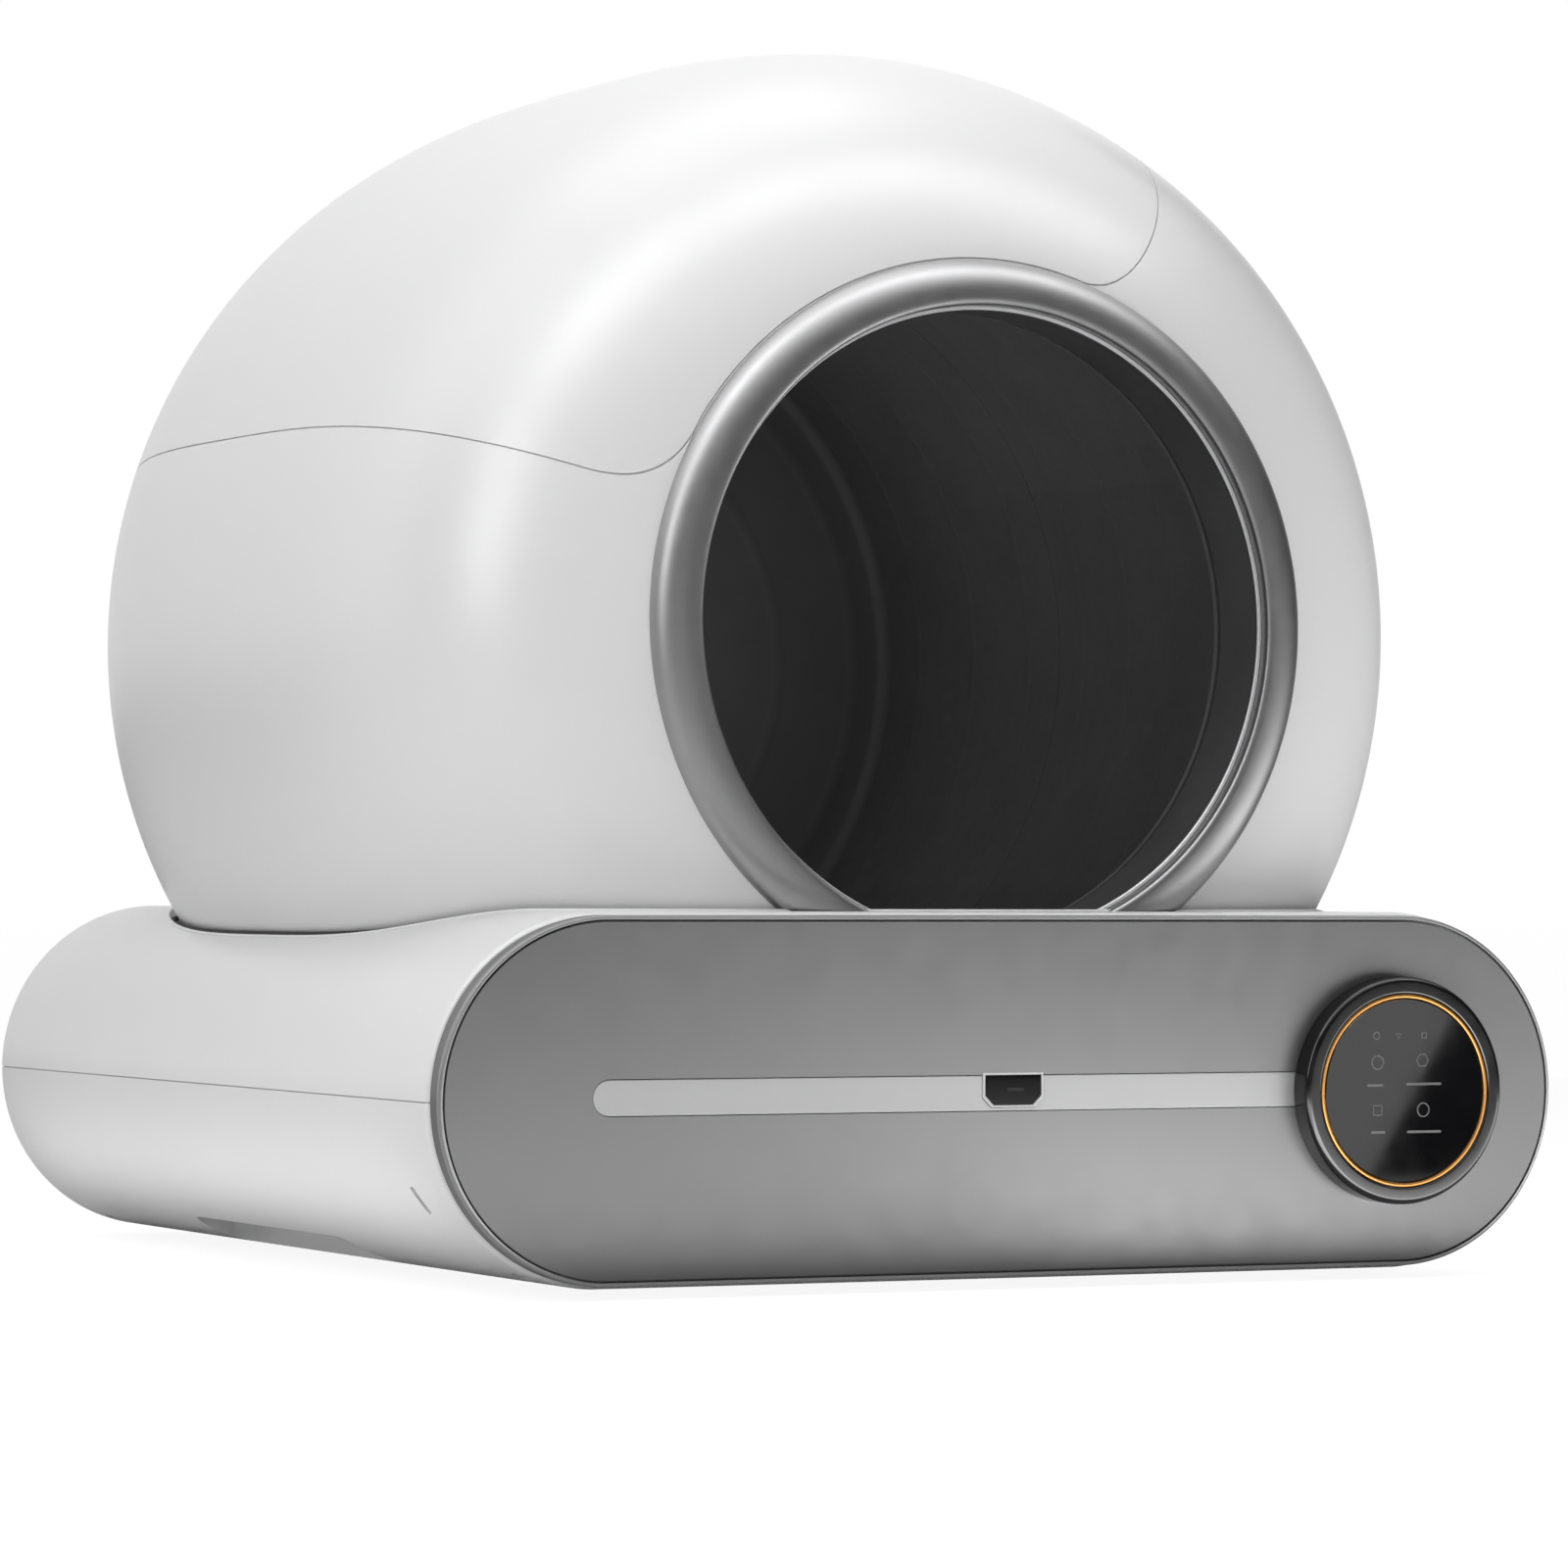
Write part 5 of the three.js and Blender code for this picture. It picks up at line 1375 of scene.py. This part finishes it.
@dataclass
class Panel:
    """The drawer's grey front with its strip, window and dial."""

    plan: Plan
    wall: float = 4.0
    over: float = 2.0
    rim_width: float = 1.7
    rim_depth: float = 2.6
    rim_round: float = 1.2
    groove: float = 0.8
    plate_y: float = 0.1
    plate_edge: float = 0.4
    plate_step: float = 1.0
    boss_radius: float = 6.0
    boss_xs: Sequence[float] = (-150.0, 0.0, 150.0)
    boss_zs: Point = (41.7, 61.7)
    strip_left: float = -197.0
    strip_right: float = 140.6
    strip_height: float = 15.5
    strip_z: float = 82.9
    strip_y: float = 0.5
    strip_edge: float = 0.3
    strip_depth: float = 2.5
    window_x: float = -2.6
    window_width: float = 27.0
    window_height: float = 13.0
    window_chamfer: float = 4.0
    window_edge: float = 0.4
    window_proud: float = 0.3
    trim_proud: float = 0.15
    trim_grow: Sequence[float] = (1.0, 0.8, -0.1)
    mark_place: Point = (1.0, 1.5)
    mark_half: Point = (4.0, 0.7)
    mark_ys: Point = (-0.36, -0.2)
    mark_round: float = 0.6
    dial_x: float = 184.0
    dial_z: float = 82.0
    dial_radius: float = 49.4
    dial_proud: float = 11.0
    dial_lip: float = 7.2
    dial_recess: float = 4.0
    dial_rounds: Point = (2.6, 0.8)
    gold_width: float = 1.8
    gold_edge: float = 0.4
    glass_sink: float = 0.6
    print_depth: Point = (0.07, 0.1)
    line_half: float = 0.55
    line_round: float = 0.5
    dial_bars: Sequence[tuple[float, float, float]] = (
        (-19.0, -10.8, 2.4), (0.7, 18.5, 2.8), (-17.0, -9.8, -17.9), (1.2, 18.5, -17.9))
    dial_signs: Sequence[tuple[float, float, float, int]] = (
        (-14.2, 23.9, 1.8, 24), (-3.1, 23.9, 1.8, 3), (9.8, 23.9, 1.8, 4), (-13.7, 12.3, 3.2, 24),
        (8.9, 13.1, 3.2, 6), (-13.7, -8.4, 3.2, 4), (9.4, -8.4, 3.2, 24))
    hollow_steps: int = 96
    strip_steps: int = 20
    round_steps: int = 8
    steps: int = 144

    def bar(self, inset: float, ys: Point, steps: int = 192) -> Blank:
        """Makes a bar of the panel's shape.

        Args:
            inset: How far it is drawn in.
            ys: Front and back.
            steps: Facets of its two round sides together.

        Returns:
            The bar.
        """
        plan = self.plan
        return Blank.stadium(plan.panel_width - 2 * inset, plan.panel_height - 2 * inset, ys, plan.centre_z, steps)

    def face_plate(self) -> None:
        """Makes the grey front, with a hoop round its front edge in a lighter grey that paints the highlight along the
        edge.
        """
        plan, rim = self.plan, self.rim_depth
        hoop = self.bar(0, (0, rim)).eased(self.rim_round, 4, at_y(0.0))
        hoop.cut(self.bar(self.rim_width, (-self.over, rim + self.over)))
        hoop.piece("front_panel_hoop", Body.DRAWER, PANEL_RIM_HIGHLIGHT, crease=40)
        plate = self.bar(self.rim_width + self.groove, (self.plate_y, plan.panel_depth - self.plate_step))
        plate.eased(self.plate_edge, 2, at_y(self.plate_y))
        plate.join(self.bar(0, (rim + self.plate_y, plan.panel_depth)))
        bosses = [Blank.rod(self.boss_radius, (x, self.wall - plan.gap, z), (x, plan.panel_depth, z))
                  for x in self.boss_xs for z in self.boss_zs]
        hollow = self.bar(self.wall, (self.wall, plan.panel_depth + self.over), self.hollow_steps)
        plate.cut(hollow).join(Blank.gathered(bosses))
        plate.cut(Blank.prism(self.strip_outline(0), (-self.over, self.strip_depth), 0, self.strip_z))
        plate.piece("front_panel_plate", Body.DRAWER, PANEL_GREY, "front_panel", crease=25)

    def strip_outline(self, grow: float) -> list[Point]:
        """Draws the light strip, round at its left end.

        Args:
            grow: How far the outline stands out.

        Returns:
            The outline.
        """
        radius, right = self.strip_height / 2 + grow, self.strip_right + grow
        return [(right, -radius), (right, radius),
                *arc((self.strip_left + self.strip_height / 2, 0), radius, 90, 270, self.strip_steps)]

    def window(self, grow: float, ys: Point) -> Blank:
        """Makes a block with the outline of the sensor window, whose lower corners are cut.

        Args:
            grow: How far the outline stands out.
            ys: Front and back.

        Returns:
            The block.
        """
        half, top, cut = self.window_width / 2 + grow, self.strip_height / 2 + grow, self.window_chamfer
        bottom = self.strip_height / 2 - self.window_height - grow
        outline = [(-half, bottom + cut), (-half + cut, bottom), (half - cut, bottom), (half, bottom + cut),
                   (half, top), (-half, top)]
        return Blank.prism(outline, ys, self.window_x, self.strip_z)

    def strip_and_window(self) -> None:
        """Makes the frosted strip, the dark window and the pale trim round it, whose near-white paints the highlight
        along the window's edge.
        """
        gap, through = self.plan.gap, (-self.over, self.strip_depth + self.over)
        back = self.strip_depth - gap
        opening, outer, inner = self.trim_grow
        strip = Blank.prism(self.strip_outline(-gap), (self.strip_y, back), 0, self.strip_z)
        strip.eased(self.strip_edge, 2, at_y(self.strip_y)).cut(self.window(opening, through))
        strip.piece("light_strip_bar", Body.DRAWER, STRIP_GREY, "light_strip")
        # The trim's near-white paints the highlight along the window's edge
        trim = self.window(outer, (-self.trim_proud, back)).cut(self.window(inner, through))
        trim.piece("sensor_window_trim", Body.DRAWER, WINDOW_EDGE_HIGHLIGHT)
        front = -self.window_proud
        window = self.window(-gap, (front, back)).eased(self.window_edge, 2, at_y(front))
        window.piece("sensor_window_glass", Body.DRAWER, DARK_GLASS, "sensor_window")
        xs, zs = ((-half, half) for half in self.mark_half)
        x, z = self.mark_place
        mark = Blank.prism(rounded_rectangle(xs, zs, self.mark_round, 3), self.mark_ys, self.window_x + x,
                           self.strip_z + z)
        mark.piece("sensor_window_mark", Body.DRAWER, PRINT_GREY)

    def dial(self) -> None:
        """Makes the dial's black rim, copper gold ring and glass."""
        gap, radius, top = self.plan.gap, self.dial_radius, -self.dial_proud
        inner, floor = radius - self.dial_lip, top + self.dial_recess
        outer_round, inner_round = self.dial_rounds
        rim = [(0, -gap), (radius, -gap),
               *arc((radius - outer_round, top + outer_round), outer_round, 0, -90, self.round_steps),
               *arc((inner + inner_round, top + inner_round), inner_round, -90, -180, 4), (inner, floor), (0, floor)]
        outer, edge = inner - gap, self.gold_edge
        thin, low, high = outer - self.gold_width, floor - gap, top + gap
        gold = [(thin, low), (thin, high + edge), (thin + edge, high), (outer - edge, high), (outer, high + edge),
                (outer, low), (thin, low)]
        face, glass = top + self.glass_sink, thin - gap
        disc = [(0, low), (glass, low), (glass, face + edge), (glass - edge, face), (0, face)]
        for name, profile, finish, node, crease in (("dial_rim", rim, DIAL_BLACK, "dial_bezel", 40),
                                                    ("dial_gold_hoop", gold, GOLD, "dial_ring", 50),
                                                    ("dial_glass_disc", disc, DARK_GLASS, "dial_glass", 30)):
            made = Blank.turned(profile, self.dial_x, self.dial_z, self.steps)
            made.piece(name, Body.DRAWER, finish, node, crease=crease)

    def marks(self) -> None:
        """Prints faint generic signs and bars on the dial's glass."""
        face, (proud, deep) = self.glass_sink - self.dial_proud, self.print_depth
        line = self.line_half

        def printed(outline: Sequence[Point], reach: float = 0.0) -> Blank:
            """Pushes an outline through the glass's face, and past it by a reach."""
            return Blank.prism(outline, (face - proud - reach, face + deep + reach), self.dial_x, self.dial_z)

        def sign(x: float, z: float, radius: float, sides: int) -> list[Point]:
            """Corners of a regular outline."""
            turns = [math.tau * (i + 0.5) / sides for i in range(sides)]
            return [(x + radius * math.sin(t), z + radius * math.cos(t)) for t in turns]

        made = [printed(rounded_rectangle((x0, x1), (z - line, z + line), self.line_round, 3))
                for x0, x1, z in self.dial_bars]
        made += [printed(sign(x, z, size, sides)).cut(printed(sign(x, z, size - line, sides), 1.0))
                 for x, z, size, sides in self.dial_signs]
        Blank.gathered(made).piece("dial_marks", Body.DRAWER, PRINT_GREY)

    def build(self) -> None:
        """Makes the whole front."""
        self.face_plate()
        self.strip_and_window()
        self.dial()
        self.marks()


@dataclass
class Drawer:
    """The waste bin behind the panel and the frame that holds its liner."""

    plan: Plan
    ends: Point = (9.3, 375.2)
    top: float = 80.0
    wall: float = 2.5
    corner: float = 14.0
    edge: float = 0.6
    foot_round: float = 5.0
    floor_round: float = 4.0
    bead: float = 1.5
    bead_zs: Point = (-8.0, -5.0)
    over: float = 2.0
    rib_half: float = 1.5
    rib_zs: Point = (-1.0, 1.6)
    rib_inset: float = 30.0
    rib_xs: Sequence[float] = (-150.0, -100.0, -50.0, 0.0, 50.0, 100.0, 150.0)
    rib_ys: Sequence[float] = (100.0, 192.0, 284.0)
    frame_width: float = 8.0
    frame_zs: Point = (80.3, 82.3)
    notch_radius: float = 16.0
    notch_inset: float = 19.0
    notch_y: float = 192.0
    notch_steps: int = 48
    corner_steps: int = 10
    round_steps: int = 5

    def room(self, inset: float) -> tuple[Point, Point]:
        """Sides and ends of the bin, drawn in by an inset."""
        half = self.plan.bin_half - inset
        return (-half, half), (self.ends[0] + inset, self.ends[1] - inset)

    def outline(self, inset: float) -> list[Point]:
        """Outline of the bin, drawn in by an inset."""
        return rounded_rectangle(*self.room(inset), self.corner - inset, self.corner_steps)

    def bin(self) -> None:
        """Makes the bin, with a round foot, a bead along its rim and ribs on its floor."""
        bottom, top, half = self.plan.bin_bottom, self.top, self.rib_half
        body = Blank.upright(self.outline(0), (bottom, top))
        body.eased(self.foot_round, self.round_steps, at_z(bottom)).eased(self.edge, 2, at_z(top))
        floor = bottom + self.wall
        hollow = Blank.upright(self.outline(self.wall), (floor, top + self.bead_zs[1]))
        body.cut(hollow.eased(self.floor_round, self.round_steps, at_z(floor)),
                 Blank.upright(self.outline(self.wall + self.bead), (top + self.bead_zs[0], top + self.over)))
        (xs, ys), zs = self.room(self.rib_inset), (floor + self.rib_zs[0], floor + self.rib_zs[1])
        body.join(Blank.gathered(Blank.box((x - half, x + half), ys, zs) for x in self.rib_xs),
                  Blank.gathered(Blank.box(xs, (y - half, y + half), zs) for y in self.rib_ys))
        body.piece("waste_bin", Body.DRAWER, DRAWER_GREY, "drawer_bin", crease=30)

    def liner_frame(self) -> None:
        """Makes the frame that clamps the liner, with a finger notch at each side."""
        z0, z1 = self.frame_zs
        through = (z0 - self.over, z1 + self.over)
        frame = Blank.upright(self.outline(0), self.frame_zs)
        frame.cut(Blank.upright(self.outline(self.frame_width), through)).eased(self.edge, 2, at_z(z0, z1))
        x = self.plan.bin_half - self.notch_inset
        frame.cut(*Blank.rods(self.notch_radius, [(-x, self.notch_y), (x, self.notch_y)], through, self.notch_steps))
        frame.piece("liner_frame", Body.DRAWER, DRAWER_GREY, "bag_frame", crease=30)

    def build(self) -> None:
        """Makes the bin and its frame."""
        self.bin()
        self.liner_frame()


KEPT_NODES: dict[str, Finish] = {
    "drum_seal": RUBBER, "ring_gear": DRAWER_GREY, "drive_pinion": DRAWER_GREY, "gear_motor": STEEL,
    "motor_bracket": STEEL, "chute_seal": RUBBER, "control_board": RESIST, "deodoriser_cartridge": DRAWER_GREY,
    "drawer_socket": TUNNEL_BLACK, "drawer_plug": TUNNEL_BLACK, "sensor_board": RESIST, "display_board": RESIST,
    "drawer_runner_left": DRAWER_GREY, "drawer_runner_right": DRAWER_GREY,
}
CORNER_NODES: dict[str, Finish] = {
    "roller": RUBBER, "roller_axle": STEEL, "weight_sensor": STEEL, "base_screw": STEEL,
}


def dress_kept_nodes() -> None:
    """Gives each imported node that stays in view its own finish."""
    corners = {f"{stem}_{place}": finish for stem, finish in CORNER_NODES.items() for place in CORNERS}
    for name, finish in {**KEPT_NODES, **corners}.items():
        node = frame["nodes"][name]
        node.data.materials.clear()
        node.data.materials.append(finish.material())
        log.info("%s dressed as %s", name, finish.name)


@dataclass(frozen=True)
class Lamp:
    """A rectangular soft lamp, placed in metres; one with pieces shows in their gloss alone."""

    name: str
    place: Sequence[float]
    aim: Sequence[float]
    size: Point
    power: float
    mirrored: bool = True
    pieces: Sequence[str] = ()

    def hang(self, turn: Matrix | None = None) -> None:
        """Hangs the lamp.

        Args:
            turn: How it is turned, where it does not simply face its aim.
        """
        data = bpy.data.lights.new(self.name, "AREA")
        data.shape, data.size, data.size_y, data.energy = "RECTANGLE", *self.size, self.power
        lamp = bpy.data.objects.new(self.name, data)
        bpy.context.scene.collection.objects.link(lamp)
        facing = (Vector(self.aim) - Vector(self.place)).to_track_quat("-Z", "Y").to_matrix().to_4x4()
        lamp.matrix_world = Matrix.Translation(self.place) @ (turn or facing)
        lamp.visible_camera, lamp.visible_glossy, lamp.visible_diffuse = False, self.mirrored, not self.pieces
        if self.pieces:
            lit = bpy.data.collections.new(self.name)
            for piece in self.pieces:
                lit.objects.link(bpy.data.objects[piece])
            lamp.light_linking.receiver_collection = lit


PANEL_PIECES = ("front_panel_plate", "front_panel_hoop", "light_strip_bar", "dial_rim", "dial_gold_hoop", "dial_marks")
RING_PIECES = ("entrance_ring_band", "entrance_ring_lip")
LAMPS = (
    Lamp("front_fill", (-0.7, -2.6, 0.5), (0.0, -0.2, 0.25), (0.8, 0.6), 0.85),
    Lamp("ring_light", (0.3, -1.5, 1.7), (0.0, -0.26, 0.4), (0.7, 0.4), 0.12),
    Lamp("left_wash", (-1.6, 0.1, 1.8), (-0.1, 0.0, 0.3), (1.8, 1.4), 4.4),
    Lamp("top_wash", (-0.1, 0.35, 2.2), (-0.1, 0.1, 0.5), (1.4, 1.2), 5.0),
    Lamp("low_right", (0.6, -0.5, 0.006), (0.6, -0.5, 0.3), (0.5, 0.5), 3.0, mirrored=False),
    Lamp("front_low", (-0.1, -1.5, 0.3), (0.0, -0.2, 0.2), (1.6, 0.25), 0.8, mirrored=False),
    Lamp("low_left", (-0.37, -0.52, 0.006), (-0.37, -0.52, 0.3), (0.4, 0.3), 0.28, mirrored=False),
    Lamp("right_wash", (0.65, 0.2, 2.2), (0.2, -0.1, 0.45), (0.8, 0.8), 4.4, mirrored=False),
    Lamp("under_left", (-0.3, 0.0, 0.004), (-0.3, 0.0, 0.3), (0.05, 0.5), 0.1, mirrored=False),
    Lamp("floor_glow", (0.62, -0.74, 0.008), (0.62, -0.74, 0.3), (1.1, 0.8), 15.8, pieces=PANEL_PIECES),
    Lamp("near_glow", (0.0, -0.58, 0.008), (0.0, -0.58, 0.3), (0.6, 0.44), 4.2, pieces=PANEL_PIECES),
    Lamp("ring_glow", (0.85, -0.74, 0.008), (0.85, -0.74, 0.3), (0.65, 0.8), 5.2, pieces=RING_PIECES),
)


@dataclass
class Studio:
    """Camera, lamps, floor and white surroundings, in metres."""

    eye: Sequence[float] = (-1.2275, -2.58615, 0.1704)
    yaw: float = 25.819
    pitch: float = 0.936
    roll: float = 0.175
    lens: float = 141.9
    sensor: float = 36.0
    far_clip: float = 50.0
    room_light: float = 0.24
    floor_half: float = 20.0
    floor_grey: float = 0.75
    floor_roughness: float = 0.7
    floor_glow: float = 1.25
    floor_glow_share: float = 0.73
    wall_radius: float = 6.0
    wall_steps: int = 64
    wall_height: float = 4.4
    wall_gap: Point = (4.2, 1.0)
    wall_grey: float = 0.02
    flag_place: Sequence[float] = (2.1, 0.9, 0.01)
    flag_size: Point = (3.2, 2.4)
    arch_y: float = -0.75
    arch_z: float = 0.28
    arch_lean: float = 0.2
    arch_radius: float = 1.5
    arch_size: Point = (0.85, 0.5)
    arch_lamps: Sequence[Point] = ((20.0, 5.0), (58.0, 5.0), (92.0, 4.2), (122.0, 3.7))
    drum_lamps: Sequence[float] = (-0.06, 0.09)
    drum_lamp_z: float = 0.3
    drum_lamp_radius: float = 0.07
    drum_lamp_power: float = 0.27
    card_reach: float = 0.3
    dial_face: float = 0.0104
    dial_split: Sequence[Point] = ((0.2183, 0.13), (0.1668, 0.045))
    dial_cards: Sequence[tuple[str, float, float]] = (("dial_card_dark", 0.24, 0.01), ("dial_card_pale", 0.13, 0.95))

    def camera(self) -> None:
        """Sets the camera at the photograph's viewing angle."""
        yaw, pitch, roll = (math.radians(a) for a in (self.yaw, self.pitch, self.roll))
        ahead = Vector((math.sin(yaw) * math.cos(pitch), math.cos(yaw) * math.cos(pitch), math.sin(pitch)))
        across = Vector((math.cos(yaw), -math.sin(yaw), 0))
        upward = across.cross(ahead)
        right = across * math.cos(roll) + upward * math.sin(roll)
        up = upward * math.cos(roll) - across * math.sin(roll)
        data = bpy.data.cameras.new("camera")
        data.lens, data.sensor_width, data.clip_end = self.lens, self.sensor, self.far_clip
        camera = bpy.data.objects.new("camera", data)
        bpy.context.scene.collection.objects.link(camera)
        turn = Matrix((right, up, -ahead)).transposed().to_4x4()
        camera.matrix_world = Matrix.Translation(self.eye) @ turn
        bpy.context.scene.camera = camera

    def arch(self) -> None:
        """Hangs a row of narrow soft lamps in an arch from the left to over the top."""
        middle = Vector((0, self.arch_y, self.arch_z))
        centre = middle + Vector((0, self.arch_lean, 0))
        for number, (elevation, power) in enumerate(self.arch_lamps):
            turn = math.radians(elevation)
            place = middle + Vector((-math.cos(turn), 0, math.sin(turn))) * self.arch_radius
            back = (place - centre).normalized()
            side = back.cross(Vector((math.sin(turn), 0, math.cos(turn)))).normalized()
            spin = Matrix((back.cross(side) * -1, side, back)).transposed().to_4x4()
            Lamp(f"arch_{number}", place, centre, self.arch_size, power).hang(spin)

    def drum_light(self) -> None:
        """Hangs two soft lamps in the drum, so that its inside reads evenly."""
        for number, y in enumerate(self.drum_lamps):
            data = bpy.data.lights.new(f"drum_inside_{number}", "POINT")
            data.shadow_soft_size, data.energy = self.drum_lamp_radius, self.drum_lamp_power
            lamp = bpy.data.objects.new(f"drum_inside_{number}", data)
            lamp.location = (0.0, y, self.drum_lamp_z)
            lamp.visible_camera = lamp.visible_glossy = False
            bpy.context.scene.collection.objects.link(lamp)

    def surroundings(self) -> None:
        """Makes the room even and soft, and white where it is seen or mirrored."""
        world = bpy.data.worlds.new("studio_world")
        bpy.context.scene.world = world
        wiring = Wiring(world)
        plain = wiring.tree.nodes["Background"]
        plain.inputs["Color"].default_value = (1, 1, 1, 1)
        plain.inputs["Strength"].default_value = self.room_light
        white = wiring.add("ShaderNodeBackground", Color=(1, 1, 1, 1), Strength=1.0)
        path = wiring.add("ShaderNodeLightPath")
        seen = path.outputs["Is Camera Ray"]
        for other in ("Is Glossy Ray", "Is Transmission Ray"):
            seen = wiring.add("ShaderNodeMath", {0: seen, 1: path.outputs[other]}, operation="MAXIMUM").outputs[0]
        wiring.finish(seen, plain, white, "World Output")

    @staticmethod
    def placed(name: str, mesh: bmesh.types.BMesh, material: bpy.types.Material) -> bpy.types.Object:
        """Sets up a piece of the stage.

        Args:
            name: Name of the piece.
            mesh: Its shape, which is used up.
            material: Its material.

        Returns:
            The piece.
        """
        data = bpy.data.meshes.new(name)
        mesh.to_mesh(data)
        mesh.free()
        data.materials.append(material)
        made = bpy.data.objects.new(name, data)
        bpy.context.scene.collection.objects.link(made)
        return made

    def floor(self) -> None:
        """Lays a pale floor that keeps the machine's shadow and fades into the white room."""
        material = bpy.data.materials.new("floor_white")
        wiring = Wiring(material)
        surface = wiring.tree.nodes["Principled BSDF"]
        surface.inputs["Base Color"].default_value = (*[self.floor_grey] * 3, 1)
        surface.inputs["Roughness"].default_value = self.floor_roughness
        glow = wiring.add("ShaderNodeEmission", Strength=self.floor_glow)
        seen = wiring.add("ShaderNodeLightPath").outputs["Is Camera Ray"]
        share = wiring.add("ShaderNodeMath", {0: seen}, operation="MULTIPLY")
        share.inputs[1].default_value = self.floor_glow_share
        wiring.finish(share.outputs[0], surface, glow, "Material Output")
        mesh = bmesh.new()
        bmesh.ops.create_grid(mesh, x_segments=1, y_segments=1, size=self.floor_half)
        self.placed("studio_floor", mesh, material)

    def card(self, name: str, mesh: bmesh.types.BMesh, grey: float) -> None:
        """Sets up a card that only glossy surfaces mirror.

        Args:
            name: Name of the card.
            mesh: Its shape, which is used up.
            grey: How bright it looks.
        """
        material = bpy.data.materials.new(name)
        wiring = Wiring(material)
        glow = wiring.add("ShaderNodeEmission", Color=(grey, grey, grey, 1))
        wiring.tree.links.new(glow.outputs[0], wiring.tree.nodes["Material Output"].inputs["Surface"])
        card = self.placed(name, mesh, material)
        card.visible_camera = card.visible_diffuse = card.visible_shadow = card.visible_transmission = False

    def glass_cards(self) -> None:
        """Stands a pale and a black card where the two halves of the dial's glass mirror them."""
        glass = PANEL_FACE_Y * MM - self.dial_face
        mirrored = Vector((self.eye[0], 2 * glass - self.eye[1], self.eye[2]))
        (_, top), (_, bottom) = self.dial_split
        for name, edge, grey in self.dial_cards:
            mesh = bmesh.new()
            corners = [Vector((x, glass, z)) for x, z in (*self.dial_split, (edge, bottom), (edge, top))]
            mesh.faces.new([mesh.verts.new(c + (c - mirrored) * self.card_reach) for c in corners])
            self.card(name, mesh, grey)

    def walls(self) -> None:
        """Puts dim walls and a dim flag low round the studio, for the metal and the gloss to mirror."""
        mesh = bmesh.new()
        place = Matrix.Translation((0, 0, self.wall_height / 2))
        bmesh.ops.create_cone(mesh, cap_ends=False, segments=self.wall_steps, radius1=self.wall_radius,
                              radius2=self.wall_radius, depth=self.wall_height, matrix=place)
        x, y = self.wall_gap
        behind = [f for f in mesh.faces if f.calc_center_median().y > y and f.calc_center_median().x < x]
        bmesh.ops.delete(mesh, geom=behind, context="FACES")
        self.card("studio_walls", mesh, self.wall_grey)
        mesh = bmesh.new()
        place = Matrix.Translation(self.flag_place) @ Matrix.Diagonal((*self.flag_size, 1.0, 1.0))
        bmesh.ops.create_grid(mesh, x_segments=1, y_segments=1, size=0.5, matrix=place)
        self.card("studio_flag", mesh, self.wall_grey)

    def build(self) -> None:
        """Sets up the whole studio."""
        self.camera()
        self.surroundings()
        self.floor()
        self.arch()
        self.glass_cards()
        self.walls()
        for lamp in LAMPS:
            lamp.hang()
        self.drum_light()
        bpy.context.scene.view_settings.view_transform = "Standard"


def main() -> None:
    """Builds the machine's pieces and the studio."""
    logging.basicConfig(level=logging.INFO, format="%(message)s")
    plan = Plan()
    dome = Dome(plan)
    entrance = Entrance(plan, dome)
    for assembly in (dome, entrance, Drum(plan), Base(plan, dome, entrance), Panel(plan), Drawer(plan)):
        log.info("building %s", type(assembly).__name__)
        assembly.build()
    dress_kept_nodes()
    Studio().build()


if __name__ == "__main__":
    main()
